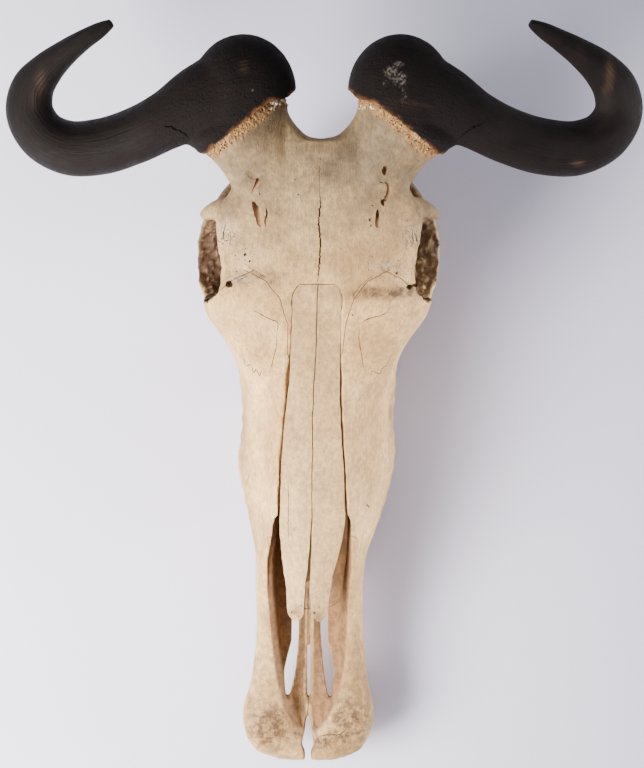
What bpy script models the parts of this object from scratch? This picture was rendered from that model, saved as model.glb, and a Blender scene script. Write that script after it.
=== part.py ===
"""The cranium of a blue wildebeest with both horn sheaths, without its lower jaw.

It lies as a loose skull lies on a table: on the hind cheek teeth and on the two bony prongs behind the
ears, with the long face sloping down to the muzzle. The muzzle points along -Y, the horns along +Y, and
the floor is z = 0. Tables are in millimetres from a working origin on the midline, and the finished part is
moved so that its origin is the middle of its footprint. Left and right are the animal's own: its left is +X.
"""

import math

import bmesh
import bpy
import numpy as np
from mathutils import Matrix, Vector

MM = 0.001

# Driving sizes of this skull, in millimetres
SUTURE_GAP = 0.3
NASAL_GAP_OPEN = 1.1
VOXEL_BONE = 2.6
VOXEL_HORN = 2.8
BONE_TRIANGLES = 3600
HORN_TRIANGLES = 660

# Outside of the face and muzzle, as half sections from the muzzle tip back to the front of the eyes.
# Each row: y, top z, crest x and z, shoulder x and z, widest x and z, hem x and z, underside z
FACE = (
    (-282.0, 42.0, 10.0, 42.0, 17.0, 40.0, 21.0, 36.0, 16.0, 31.5, 31.0),
    (-277.5, 45.5, 23.0, 45.5, 30.0, 42.0, 34.5, 37.0, 29.0, 31.0, 30.5),
    (-268.0, 49.0, 29.0, 49.5, 39.0, 45.0, 44.0, 38.5, 38.0, 30.5, 30.5),
    (-256.0, 50.5, 32.0, 51.5, 43.5, 47.0, 48.6, 39.0, 42.0, 31.0, 32.0),
    (-242.0, 51.0, 33.5, 52.5, 44.5, 48.0, 49.2, 40.0, 41.5, 32.5, 34.0),
    (-226.0, 51.5, 33.5, 53.5, 41.0, 49.0, 45.0, 41.0, 38.0, 34.0, 36.0),
    (-206.0, 55.0, 33.5, 57.0, 39.0, 51.0, 42.0, 42.0, 35.0, 35.0, 37.0),
    (-180.0, 64.0, 34.0, 65.0, 38.0, 57.0, 39.5, 45.0, 33.0, 35.5, 38.0),
    (-152.0, 79.0, 34.0, 79.0, 38.0, 67.0, 39.5, 49.0, 34.0, 35.0, 38.0),
    (-128.0, 92.0, 33.0, 92.0, 37.5, 76.0, 41.0, 51.0, 37.0, 32.5, 37.0),
    (-105.0, 105.0, 27.5, 104.0, 36.5, 86.0, 47.0, 53.0, 44.0, 29.0, 36.0),
    (-84.0, 116.5, 24.5, 114.5, 36.0, 95.0, 51.8, 56.0, 49.5, 27.0, 36.0),
    (-55.0, 124.5, 23.0, 122.0, 38.5, 101.0, 57.8, 58.0, 52.0, 24.5, 36.0),
    (-25.0, 132.5, 22.0, 130.0, 39.5, 108.0, 52.0, 66.0, 51.5, 22.5, 37.0),
    (0.0, 139.0, 23.0, 136.5, 43.0, 117.0, 53.6, 76.0, 50.0, 21.5, 38.0),
    (18.0, 144.0, 27.0, 141.5, 49.0, 126.0, 59.2, 88.0, 48.0, 34.0, 42.0),
    (34.0, 148.5, 32.0, 145.5, 57.0, 133.0, 68.5, 98.0, 48.0, 56.0, 52.0),
    (50.0, 152.5, 39.0, 150.0, 64.0, 140.0, 79.5, 108.0, 52.0, 78.0, 64.0),
    (64.0, 156.0, 42.0, 153.5, 68.0, 145.0, 83.5, 114.0, 56.0, 92.0, 80.0),
)

# The flat forehead plate behind the eyes, up to the notch between the horns.
# Each row: y, top z, brow x and z, edge x and z, underside z
ROOF = (
    (54.0, 153.5, 40.0, 151.0, 63.0, 141.0, 124.0),
    (78.0, 159.5, 44.0, 157.0, 69.0, 148.0, 130.0),
    (100.0, 164.5, 46.0, 162.0, 71.5, 154.0, 135.0),
    (118.0, 168.5, 48.0, 166.5, 73.0, 158.0, 137.0),
    (129.0, 171.0, 47.0, 169.0, 68.0, 161.0, 138.0),
    (139.0, 173.0, 44.0, 171.5, 62.0, 164.0, 139.0),
    (150.0, 175.0, 41.0, 174.0, 60.0, 167.0, 140.0),
    (162.0, 177.0, 34.0, 176.5, 50.0, 170.0, 143.0),
    (171.0, 177.5, 20.0, 177.5, 30.0, 172.0, 153.0),
)

# The case of the brain below that plate, and the wall between the eye sockets.
# Each row: y, top z, half width, z of the widest place, underside z
BRAINCASE = (
    (28.0, 140.0, 20.0, 90.0, 58.0),
    (52.0, 148.0, 27.0, 100.0, 46.0),
    (76.0, 154.0, 31.0, 105.0, 42.0),
    (100.0, 158.0, 37.0, 102.0, 38.0),
    (122.0, 162.0, 43.0, 98.0, 36.0),
    (142.0, 164.0, 45.0, 95.0, 35.0),
    (156.0, 165.0, 42.0, 92.0, 36.0),
    (165.0, 163.0, 35.0, 92.0, 42.0),
    (168.5, 155.0, 26.0, 95.0, 52.0),
)

# Wings of bone beside the rear nostrils, below the braincase: the same columns
PTERYGOID = (
    (-4.0, 70.0, 17.0, 50.0, 33.0),
    (14.0, 80.0, 17.5, 55.0, 30.0),
    (36.0, 90.0, 17.0, 60.0, 32.0),
    (60.0, 92.0, 16.0, 62.0, 38.0),
    (78.0, 90.0, 14.0, 62.0, 44.0),
)

# Nose cavity, open at the top in front of the slot for the nasal bones.
# Each row: y, floor half width, floor z, mouth half width, mouth z
NOSE_CAVITY = (
    (-262.0, 9.0, 52.5, 14.0, 62.0),
    (-246.0, 10.0, 46.0, 21.0, 62.0),
    (-232.0, 12.0, 43.5, 27.0, 66.0),
    (-206.0, 16.0, 41.5, 30.5, 72.0),
    (-180.0, 18.0, 41.5, 31.5, 84.0),
    (-152.0, 19.0, 42.0, 31.5, 100.0),
    (-128.0, 21.0, 42.5, 30.5, 112.0),
    (-110.0, 23.0, 43.0, 26.5, 120.0),
    (-98.0, 24.0, 43.5, 24.0, 112.0),
    (-80.0, 24.0, 44.0, 21.0, 107.0),
    (-50.0, 23.0, 46.0, 19.0, 112.0),
    (-20.0, 19.0, 50.0, 16.0, 119.0),
    (6.0, 12.0, 60.0, 12.0, 120.0),
)

# One nasal bone, from its free tip to its root at the forehead.
# Each row: y, x of the inner edge, x of the outer edge, top z at the midline, fall to the outer edge
NASAL = (
    (-174.0, 4.4, 12.6, 88.4, 5.2),
    (-168.0, 3.2, 14.6, 91.4, 6.0),
    (-158.0, 2.4, 15.4, 95.0, 6.0),
    (-142.0, 1.5, 17.2, 99.8, 6.6),
    (-127.0, 1.0, 20.2, 104.3, 7.2),
    (-114.0, 0.7, 22.2, 108.3, 6.8),
    (-98.0, 0.4, 23.6, 113.0, 5.8),
    (-84.0, 0.3, 23.4, 117.0, 4.6),
    (-55.0, 0.2, 22.2, 124.8, 3.3),
    (-5.0, 0.2, 18.3, 138.0, 2.0),
    (20.0, 0.2, 17.6, 144.4, 1.3),
    (50.0, 0.2, 17.1, 152.3, 0.5),
    (65.0, 0.2, 16.2, 156.2, 0.3),
    (70.0, 0.2, 13.0, 157.4, 0.2),
)
NASAL_THICKNESS = 3.6
NASAL_SEAT_TOP = 30.0
NASAL_OPEN_FROM_Y = 14.0

# Holes through the front of the palate, and the slit and notch between its two halves: x, y outlines
PALATE_HOLE = (
    (8.2, -150.0), (8.2, -186.0), (9.6, -204.0), (11.0, -217.0), (13.6, -230.0), (15.8, -238.5),
    (17.4, -233.0), (18.8, -214.0), (16.6, -203.0), (13.5, -192.0), (13.0, -150.0),
)
MIDLINE_SLIT = ((1.4, -150.0), (1.4, -232.0), (0.35, -238.0), (0.35, -244.0), (3.4, -268.0), (5.2, -290.0))

# The eye socket: a raised ring of bone round a deep cup that looks out and a little up.
# Each row of the cup: distance out along the axis, half width
ORBIT_CENTRE = (75.5, 90.0, 123.0)
ORBIT_AXIS = (0.95, -0.05, 0.30)
ORBIT_RING_RADIUS = 31.2
ORBIT_RING_HALF_THICKNESS = 4.2
ORBIT_CUP = ((-35.0, 6.0), (-31.0, 15.0), (-22.0, 23.0), (-10.0, 27.0), (0.0, 28.4), (24.0, 30.5))
ORBIT_WALL = 3.6
BROW_BAR = (
    (52.0, 122.0, 160.0, 9.0, 6.0), (68.0, 124.0, 154.0, 8.0, 5.5), (79.0, 120.0, 143.0, 6.5, 5.0),
    (84.5, 112.0, 128.0, 6.0, 4.5), (85.5, 105.0, 112.0, 6.0, 4.5), (84.0, 100.0, 98.0, 6.0, 4.5),
)

# Cheek bone behind the socket. Each row: x, y, z, half width, half height
CHEEK_BAR = (
    (83.0, 72.0, 100.0, 4.0, 6.5),
    (84.0, 94.0, 95.5, 4.0, 8.0),
    (81.0, 114.0, 91.5, 4.0, 8.0),
    (75.0, 129.0, 87.5, 3.8, 7.5),
    (66.0, 143.0, 83.5, 4.0, 6.8),
    (54.0, 153.0, 80.0, 5.0, 7.0),
    (40.0, 157.0, 78.0, 6.0, 8.0),
)
EAR_PRONG = (
    (33.0, 148.0, 62.0, 9.0, 9.0),
    (35.0, 147.0, 44.0, 8.0, 7.0),
    (36.0, 145.0, 24.0, 6.5, 5.0),
    (36.0, 143.0, 8.0, 5.0, 4.2),
    (36.0, 142.0, -2.5, 4.2, 3.8),
)
BONY_SWELLINGS = (
    # name, centre, radii
    ("condyle", (17.5, 163.0, 47.0), (11.5, 9.5, 16.0)),
    ("ear_drum", (25.0, 121.0, 36.0), (9.5, 14.0, 12.5)),
    ("jaw_socket", (51.0, 142.0, 74.0), (14.0, 11.0, 7.0)),
    ("ear_crest", (40.0, 154.0, 92.0), (9.0, 8.0, 30.0)),
    ("tooth_root_swelling", (48.5, -52.0, 50.0), (8.5, 26.0, 20.0)),
)
BASE_BAR = ((0.0, 92.0, 46.0, 12.0, 9.0), (0.0, 125.0, 42.0, 13.0, 9.0), (0.0, 160.0, 46.0, 17.0, 11.0))
SPINAL_HOLE_CENTRE = (0.0, 168.0, 62.0)
SPINAL_HOLE_RADII = (13.0, 34.0, 13.0)
REAR_NOSTRIL = ((0.0, -2.0, 34.0, 11.0, 12.0), (0.0, 22.0, 40.0, 11.0, 17.0), (0.0, 50.0, 48.0, 10.0, 15.0))

# Raised edge of the forehead plate round the notch between the horn cores
NOTCH_EDGE = (
    (0.0, 161.7, 169.5, 10.0, 8.0), (14.0, 165.5, 170.0, 9.5, 8.0), (25.5, 176.5, 171.5, 8.5, 8.0),
    (31.5, 188.5, 173.0, 7.5, 8.0),
)

# How far this skull's midline leans to the animal's right, from the muzzle to the notch.
# Each row: y, shift of x at the floor, more shift at LEAN_HEIGHT, which grows with the square of z
MIDLINE_LEAN = (
    (-290.0, -10.6, 0.0), (-264.0, -10.5, 0.0), (-241.0, -10.1, 0.0), (-204.0, -9.0, -1.2),
    (-170.0, -8.7, -3.4), (-150.0, -8.9, -2.2), (-128.0, -8.0, -1.6), (-113.0, -6.5, -1.9),
    (-97.0, -5.2, -2.3), (-60.0, -3.8, -3.3), (-40.0, -3.0, -3.5), (-10.0, -2.9, -2.6),
    (20.0, -3.0, -1.3), (70.0, -3.1, 0.0), (110.0, -2.1, 0.0), (129.0, -1.4, 0.0),
    (172.7, 0.0, 0.0), (240.0, 0.0, 0.0),
)
LEAN_HEIGHT = 120.0

# Horn base: the middle of the rim where the sheath starts, and the way the bony core points there
RIM_CENTRE = (55.3, 181.0, 172.0)
CORE_TURN_DEG = 29.0
CORE_RISE_DEG = 18.0
CORE_HALF_WIDTH = 34.5
CORE_HALF_HEIGHT = 23.5
CORE_STUB = 13.0
# Each row: way out along the core from the rim, share of the half width, share of the half height
CORE_STEPS = ((-40.0, 0.76, 0.74), (-26.0, 0.79, 0.80), (-12.0, 0.86, 0.92), (0.0, 1.0, 1.0), (6.0, 0.98, 0.98))
SHEATH_FIT = 0.9
BOSS_CENTRE = (54.5, 203.5, 181.0)
BOSS_RADII = (36.8, 40.2, 28.5)
BOSS_LOBE_CENTRE = (85.0, 176.5, 170.0)
BOSS_LOBE_RADII = (12.5, 12.5, 15.5)

# Horn shaft from inside the boss to the tip. Each row: x, y, z, half width in plan, half height
HORN = (
    (60.0, 203.0, 181.0, 34.0, 27.0),
    (83.0, 196.6, 178.0, 26.4, 24.5),
    (106.5, 185.2, 170.0, 20.8, 21.0),
    (132.0, 174.2, 160.0, 19.8, 19.5),
    (157.5, 167.6, 152.5, 20.0, 19.0),
    (182.0, 167.4, 148.5, 19.4, 18.0),
    (201.2, 177.0, 148.5, 18.0, 17.0),
    (209.8, 192.8, 151.5, 17.0, 16.0),
    (206.6, 208.5, 157.0, 15.9, 15.0),
    (196.5, 220.3, 164.0, 13.5, 13.2),
    (181.2, 231.0, 172.0, 10.3, 10.6),
    (165.0, 239.8, 180.0, 7.6, 7.8),
    (151.0, 246.8, 186.0, 5.3, 5.3),
    (143.8, 250.4, 189.0, 3.0, 3.0),
)
# The animal's right horn has a tighter, thinner bend and a tip set wider.
# Each row: change of that horn row's x, change of its half width
RIGHT_HORN_CHANGE = (
    (0.5, 0.0), (1.0, 0.0), (1.2, 0.0), (1.0, 0.0), (0.0, 0.0), (-2.0, 0.0), (-2.6, 0.0), (-3.0, 0.0),
    (-2.6, -0.5), (-2.4, -1.1), (-0.8, -0.9), (0.8, -0.4), (1.2, 0.0), (1.6, 0.2),
)

# Upper cheek teeth, front to back. Each row: y of the middle, length, width, lobes
TEETH = ((-103.0, 12.0, 13.0, 1), (-89.5, 13.0, 15.0, 1), (-71.0, 21.5, 18.0, 2), (-46.0, 26.0, 19.5, 2),
         (-18.5, 27.0, 19.0, 2))
TOOTH_ROW = ((-112.0, 38.0), (-90.0, 42.0), (-60.0, 45.0), (-30.0, 46.5), (0.0, 45.0))
TOOTH_ROOT_Z = 34.0
BITE_FLAT_FROM_Y = -58.0
BITE_RISE = 0.13

# Cuts along the seams between bones, as x, y or y, z paths
PALATE_SEAM = ((0.0, -200.0), (0.0, 14.0))
PREMAXILLA_SEAM = ((-178.0, 10.0), (-168.0, 42.0), (-142.0, 66.0), (-112.0, 96.0), (-100.0, 130.0))
FRONTAL_SEAM = (
    (-1.0, 13.0), (15.0, 13.5), (19.5, 22.0), (20.5, 42.0), (26.0, 60.0), (36.0, 73.0), (48.0, 79.0),
)
BROW_SEAM = ((47.0, 79.3), (60.0, 74.0), (72.0, 64.0), (84.0, 60.0), (110.0, 56.0))
CHEEK_BONE = (
    (10.0, 30.0), (8.0, 62.0), (11.0, 82.0), (19.0, 98.0), (38.0, 108.0), (60.0, 113.0), (78.0, 113.0),
    (96.0, 119.0), (110.0, 122.0), (136.0, 118.0), (142.0, 106.0), (135.0, 84.0), (130.0, 60.0),
    (100.0, 30.0),
)
CHEEK_BONE_INNER_X = 47.0
FRONTAL_SEAM_OUTER_LOW = 112.0
REACH = 400.0

BONE_COLOUR = (0.72, 0.60, 0.44, 1.0)
NASAL_COLOUR = (0.76, 0.66, 0.50, 1.0)
HORN_COLOUR = (0.035, 0.027, 0.024, 1.0)

SIDES = (("left", 1), ("right", -1))


def clear_scene():
    for obj in list(bpy.data.objects):
        bpy.data.objects.remove(obj)


def collection(name):
    group = bpy.data.collections.new(name)
    bpy.context.scene.collection.children.link(group)
    return group


def move_to(obj, group):
    for user in list(obj.users_collection):
        user.objects.unlink(obj)
    group.objects.link(obj)


def material(name, colour, roughness):
    made = bpy.data.materials.new(name)
    made.use_nodes = True
    shader = made.node_tree.nodes["Principled BSDF"]
    shader.inputs["Base Color"].default_value = colour
    shader.inputs["Roughness"].default_value = roughness
    shader.inputs["Metallic"].default_value = 0.0
    return made


def smooth_rows(rows, at, keys=None):
    """The table's rows read at other keys, on a smooth curve through them all."""
    rows = np.array(rows, float)
    keys = rows[:, 0] if keys is None else np.array(keys, float)
    slopes = np.gradient(rows, keys, axis=0)
    out = []
    for key in at:
        i = int(np.clip(np.searchsorted(keys, key) - 1, 0, len(keys) - 2))
        span = keys[i + 1] - keys[i]
        t = (key - keys[i]) / span
        out.append(
            (2 * t**3 - 3 * t**2 + 1) * rows[i]
            + (t**3 - 2 * t**2 + t) * span * slopes[i]
            + (3 * t**2 - 2 * t**3) * rows[i + 1]
            + (t**3 - t**2) * span * slopes[i + 1]
        )
    return np.array(out)


def closed_ring(points, count):
    """A smooth closed ring of count points through the given ones."""
    points = np.array(points, float)
    wrapped = np.vstack([points[-2:], points, points[:3]])
    steps = np.linalg.norm(np.diff(wrapped, axis=0), axis=1)
    keys = np.concatenate([[0], np.cumsum(steps)])
    return smooth_rows(wrapped, np.linspace(keys[2], keys[-3], count, endpoint=False), keys)


def mirrored_ring(half, count):
    """A closed ring from half a section: x and z points from the top midline to the bottom midline."""
    other = [(-x, z) for x, z in half[-2:0:-1]]
    return closed_ring(list(half) + other, count)


def loft(name, rings, group):
    """A closed mesh through rings that all have the same number of points."""
    mesh = bpy.data.meshes.new(name)
    bm = bmesh.new()
    rows = [[bm.verts.new(Vector(p) * MM) for p in ring] for ring in rings]
    for a, b in zip(rows, rows[1:]):
        for i in range(len(a)):
            j = (i + 1) % len(a)
            bm.faces.new((a[i], a[j], b[j], b[i]))
    bm.faces.new(rows[0])
    bm.faces.new(rows[-1])
    bmesh.ops.recalc_face_normals(bm, faces=bm.faces)
    bm.to_mesh(mesh)
    bm.free()
    obj = bpy.data.objects.new(name, mesh)
    group.objects.link(obj)
    return obj


def sections_to_loft(name, table, half_section, group, step=6.0, count=28):
    """Lofts a table whose rows start with y, where half_section(row) gives the row's x and z points."""
    ys = np.linspace(table[0][0], table[-1][0], max(4, int((table[-1][0] - table[0][0]) / step)))
    rings = []
    for row in smooth_rows(table, ys):
        rings.append([(x, row[0], z) for x, z in mirrored_ring(half_section(row), count)])
    return loft(name, rings, group)


def swept(name, rows, group, up=(0, 0, 1), count=20, step=5.0, side=1):
    """A limb along a path, with oval sections. Each row: x, y, z, half width, half height."""
    rows = np.array(rows, float)
    rows[:, 0] *= side
    keys = np.concatenate([[0], np.cumsum(np.linalg.norm(np.diff(rows[:, :3], axis=0), axis=1))])
    fine = smooth_rows(rows, np.linspace(0, keys[-1], max(4, int(keys[-1] / step))), keys)
    tangents = np.gradient(fine[:, :3], axis=0)
    rings = []
    for row, tangent in zip(fine, tangents):
        forward = Vector(tangent).normalized()
        across = forward.cross(Vector(up)).normalized()
        rise = across.cross(forward)
        angles = np.linspace(0, 2 * math.pi, count, endpoint=False)
        centre = Vector(row[:3])
        rings.append([centre + across * row[3] * math.cos(a) + rise * row[4] * math.sin(a) for a in angles])
    return loft(name, rings, group)


def ellipsoid(name, centre, radii, group, segments=28):
    mesh = bpy.data.meshes.new(name)
    bm = bmesh.new()
    place = Matrix.Translation(Vector(centre) * MM) @ Matrix.Diagonal([r * MM for r in radii] + [1])
    bmesh.ops.create_uvsphere(bm, u_segments=segments, v_segments=segments // 2, radius=1, matrix=place)
    bm.to_mesh(mesh)
    bm.free()
    obj = bpy.data.objects.new(name, mesh)
    group.objects.link(obj)
    return obj


def ring_of_bone(name, centre, axis, group):
    """The raised rim of an eye socket."""
    bpy.ops.mesh.primitive_torus_add(
        major_radius=ORBIT_RING_RADIUS * MM,
        minor_radius=ORBIT_RING_HALF_THICKNESS * MM,
        major_segments=36,
        minor_segments=12,
        location=Vector(centre) * MM,
        rotation=Vector(axis).to_track_quat("Z", "Y").to_euler(),
    )
    obj = bpy.context.active_object
    obj.name = name
    obj.data.transform(obj.matrix_world)
    obj.matrix_world = Matrix.Identity(4)
    move_to(obj, group)
    return obj


def prism(name, outline, low, high, group):
    """A flat outline in x and y, raised from low to high."""
    rings = [[(x, y, z) for x, y in outline] for z in (low, high)]
    return loft(name, rings, group)


def thickened(obj, thickness=SUTURE_GAP):
    """Turns a surface into a thin wall of even thickness, half on each side of it."""
    solid = obj.modifiers.new("thickness", "SOLIDIFY")
    solid.thickness = thickness * MM
    solid.offset = 0
    solid.use_even_offset = True
    return obj


def finely(path, step=22.0):
    """The same path with more points, none further apart than step."""
    out = [path[0]]
    for a, b in zip(path, path[1:]):
        parts = max(1, math.ceil(math.dist(a, b) / step))
        out += [tuple(np.array(a) + (np.array(b) - a) * k / parts) for k in range(1, parts + 1)]
    return out


def sheet(name, path, across, low, high, group):
    """A thin cutter along a path. across is the axis it is stretched along, from low to high."""
    mesh = bpy.data.meshes.new(name)
    bm = bmesh.new()
    rows = []
    for level in np.linspace(low, high, max(2, int((high - low) / 28))):
        if across == "Z":
            rows.append([bm.verts.new(Vector((u, v, level)) * MM) for u, v in finely(path)])
        else:
            rows.append([bm.verts.new(Vector((level, u, v)) * MM) for u, v in finely(path)])
    for a, b in zip(rows, rows[1:]):
        for i in range(len(a) - 1):
            bm.faces.new((a[i], a[i + 1], b[i + 1], b[i]))
    bm.to_mesh(mesh)
    bm.free()
    obj = bpy.data.objects.new(name, mesh)
    group.objects.link(obj)
    return thickened(obj)


def baked(obj):
    """Replaces the object's mesh by its evaluated one, with no modifiers left."""
    bpy.context.view_layer.update()
    graph = bpy.context.evaluated_depsgraph_get()
    mesh = bpy.data.meshes.new_from_object(obj.evaluated_get(graph))
    obj.modifiers.clear()
    obj.data = mesh
    return obj


def leaned(objects):
    """Bends the shapes a little sideways, as real skulls grow. Cutters take the same bend as the bone."""
    for obj in objects:
        baked(obj)
        ys = np.array([v.co.y for v in obj.data.vertices]) / MM
        for vertex, (_, shift, more) in zip(obj.data.vertices, smooth_rows(MIDLINE_LEAN, ys)):
            height = vertex.co.z / MM / LEAN_HEIGHT
            vertex.co.x += (shift + more * height**2) * MM
    return objects


def boolean(obj, pieces, operation):
    """Joins the pieces to the object, or cuts them from it, and removes them.

    The solver is MANIFOLD: EXACT leaves open edges where dozens of these rounded pieces cross one another.
    """
    helper = bpy.data.collections.new("pieces")
    bpy.context.scene.collection.children.link(helper)
    for piece in pieces:
        move_to(baked(piece), helper)
    step = obj.modifiers.new("boolean", "BOOLEAN")
    step.operation = operation
    step.solver = "MANIFOLD"
    step.operand_type = "COLLECTION"
    step.collection = helper
    baked(obj)
    for piece in pieces:
        bpy.data.objects.remove(piece)
    bpy.data.collections.remove(helper)
    return obj


def rounded_over(obj, voxel, triangles, smoothing):
    """Melts a joined shape into one even skin, then thins its triangles."""
    remesh = obj.modifiers.new("remesh", "REMESH")
    remesh.mode = "VOXEL"
    remesh.voxel_size = voxel * MM
    soften = obj.modifiers.new("soften", "SMOOTH")
    soften.iterations = smoothing
    soften.factor = 0.5
    baked(obj)
    obj.data.calc_loop_triangles()
    thin = obj.modifiers.new("thin", "DECIMATE")
    thin.ratio = triangles / len(obj.data.loop_triangles)
    return baked(obj)


def separate_pieces(obj):
    bpy.ops.object.select_all(action="DESELECT")
    obj.select_set(True)
    bpy.context.view_layer.objects.active = obj
    bpy.ops.mesh.separate(type="LOOSE")
    return list(bpy.context.selected_objects)


def centre_of(obj):
    points = np.array([v.co for v in obj.data.vertices])
    return points.mean(axis=0) / MM


def volume_of(obj):
    bm = bmesh.new()
    bm.from_mesh(obj.data)
    found = bm.calc_volume(signed=False)
    bm.free()
    return found


def face_half(row):
    _, top, cx, cz, sx, sz, wx, wz, hx, hz, floor = row
    return ((0, top), (cx, cz), (sx, sz), (wx, wz), (hx, hz), (hx * 0.72, hz + 2.0), (0, floor))


def roof_half(row):
    _, top, bx, bz, ex, ez, under = row
    return ((0, top), (bx, bz), (ex, ez), (ex - 4, ez - 9), (bx * 0.8, under), (0, under))


def case_half(row):
    _, top, wide, level, under = row
    return ((0, top), (wide * 0.7, top - 6), (wide, level), (wide * 0.62, under + 7), (0, under))


def cavity_half(row):
    _, fx, fz, mx, mz = row
    return ((0, mz), (mx, mz), ((fx + mx) / 2 + 1, (fz + mz) / 2), (fx, fz + 3), (fx * 0.6, fz), (0, fz))


def orbit_axis(side):
    return Vector((ORBIT_AXIS[0] * side, ORBIT_AXIS[1], ORBIT_AXIS[2])).normalized()


def orbit_cup(side, wall=0.0):
    """The hollow of the eye socket as swept rows, or with wall the bony cup round its inner part."""
    centre = Vector((ORBIT_CENTRE[0] * side, *ORBIT_CENTRE[1:]))
    rows = [(*(centre + orbit_axis(side) * out), r, r) for out, r in ORBIT_CUP]
    if not wall:
        return rows
    grown = [(*(centre + orbit_axis(side) * (out - wall)), r + wall, r + wall) for out, r in ORBIT_CUP]
    return grown[:-1]


def core_axis(side):
    turn, rise = math.radians(CORE_TURN_DEG), math.radians(CORE_RISE_DEG)
    return Vector((side * math.sin(turn) * math.cos(rise), math.cos(turn) * math.cos(rise), math.sin(rise)))


def core_rows(grow=0.0):
    """The bony core from the forehead into the sheath, as swept rows on the right side."""
    rim, axis = Vector(RIM_CENTRE), core_axis(1)
    wide, high = CORE_HALF_WIDTH + grow, CORE_HALF_HEIGHT + grow
    rows = [(*(rim + axis * out), wide * w, high * h) for out, w, h in CORE_STEPS]
    stub = rim + axis * (CORE_STUB + grow)
    return rows + [(*stub, wide * 0.78, high * 0.74)]


def tooth_row_x(y):
    ys, xs = zip(*TOOTH_ROW)
    return float(np.interp(y, ys, xs))


def bite_level(y):
    """Height of the worn tooth surface: on the floor at the back, and clear of it towards the front."""
    return -1.0 if y > BITE_FLAT_FROM_Y else (BITE_FLAT_FROM_Y - y) * BITE_RISE + 0.5


def cheek_teeth(side, group):
    """Rounded pillars, one or two to a tooth, whose roots sink well into the jaw."""
    made = []
    for y, length, width, lobes in TEETH:
        for lobe in range(lobes):
            long = length / lobes
            middle = y + (lobe - (lobes - 1) / 2) * long
            low = bite_level(middle)
            rings = []
            for z, share in ((TOOTH_ROOT_Z, 0.90), (13.0, 1.0), (low, 0.93)):
                ring = []
                for k in range(8):
                    a = 2 * math.pi * (k + 0.5) / 8
                    c, s = math.cos(a), math.sin(a)
                    x = math.copysign(abs(c) ** 0.7, c) * width / 2 * share
                    v = math.copysign(abs(s) ** 0.7, s) * long * (0.57 if lobes > 1 else 0.5) * share
                    ring.append((side * (tooth_row_x(middle) + x), middle + v, z))
                rings.append(ring)
            made.append(loft(f"tooth_{side}_{middle:.0f}", rings, group))
    return made


def skull_mass(group):
    """Every bone but the nasals as one melted skin, still without its hollows."""
    mass = sections_to_loft("skull", FACE, face_half, group)
    add = [
        sections_to_loft("roof", ROOF, roof_half, group),
        sections_to_loft("braincase", BRAINCASE, case_half, group),
        sections_to_loft("pterygoid", PTERYGOID, case_half, group),
        swept("base_bar", BASE_BAR, group),
    ]
    for word, side in SIDES:
        centre = (ORBIT_CENTRE[0] * side, *ORBIT_CENTRE[1:])
        add.append(ring_of_bone(f"orbit_{word}", centre, orbit_axis(side), group))
        add.append(swept(f"orbit_wall_{word}", orbit_cup(side, ORBIT_WALL), group, up=(0, 1, 0)))
        add.append(swept(f"brow_{word}", BROW_BAR, group, side=side, count=14))
        add.append(swept(f"notch_edge_{word}", NOTCH_EDGE, group, side=side, count=14))
        add.append(swept(f"cheek_{word}", CHEEK_BAR, group, side=side))
        add.append(swept(f"prong_{word}", EAR_PRONG, group, up=(0, 1, 0), side=side, count=14))
        add.append(swept(f"core_{word}", core_rows(), group, side=side, count=32))
        for name, (x, y, z), radii in BONY_SWELLINGS:
            add.append(ellipsoid(f"{name}_{word}", (x * side, y, z), radii, group))
    boolean(mass, add, "UNION")
    return rounded_over(mass, VOXEL_BONE, BONE_TRIANGLES, 4)


def nasal_plate(name, side, group, gap=0.0, seat=False, rings_along=16, count=4):
    """One nasal bone, or with seat the larger cutter of the slot that it lies in."""
    rings = []
    for index, row in enumerate(smooth_rows(NASAL, np.linspace(NASAL[0][0], NASAL[-1][0], rings_along))):
        y, inner, outer, top, fall = row
        open_gap = NASAL_GAP_OPEN if y < NASAL_OPEN_FROM_Y else gap
        xs = list(np.linspace(inner, outer, count))
        if seat:
            xs = [-1.0] + xs + [outer + open_gap]
            y += gap if index == rings_along - 1 else 0
        drops = [fall * (min(abs(x), outer) / outer) ** 2 for x in xs]
        upper = [(side * x, y, top - d + (NASAL_SEAT_TOP if seat else 0)) for x, d in zip(xs, drops)]
        depth = NASAL_THICKNESS + (gap if seat else 0)
        lower = [(side * x, y, top - d - depth) for x, d in zip(xs, drops)]
        rings.append(upper + lower[::-1])
    return loft(name, rings, group)


def hollows(group):
    """What is cut from the skull mass: nose, sockets, palate holes, spinal hole, and below the floor."""
    cuts = [
        sections_to_loft("nose_cavity", NOSE_CAVITY, cavity_half, group, step=14.0, count=14),
        swept("rear_nostril", REAR_NOSTRIL, group, count=12, step=12.0),
        prism("midline_slit", list(MIDLINE_SLIT) + [(-x, y) for x, y in MIDLINE_SLIT[::-1]], 20, 60, group),
    ]
    for word, side in SIDES:
        cuts.append(swept(f"socket_{word}", orbit_cup(side), group, up=(0, 1, 0), count=16, step=9.0))
        cuts.append(prism(f"palate_hole_{word}", [(side * x, y) for x, y in PALATE_HOLE], 0, 60, group))
        cuts.append(nasal_plate(f"nasal_seat_{word}", side, group, gap=SUTURE_GAP, seat=True))
    cuts.append(ellipsoid("spinal_hole", SPINAL_HOLE_CENTRE, SPINAL_HOLE_RADII, group, 16))
    return cuts


def floor_cut(group):
    """Everything under the floor, so that teeth and prongs end in flats at one level."""
    outline = ((-REACH, -REACH), (REACH, -REACH), (REACH, REACH), (-REACH, REACH))
    return prism("floor", outline, -60.0, 0.0, group)


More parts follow.
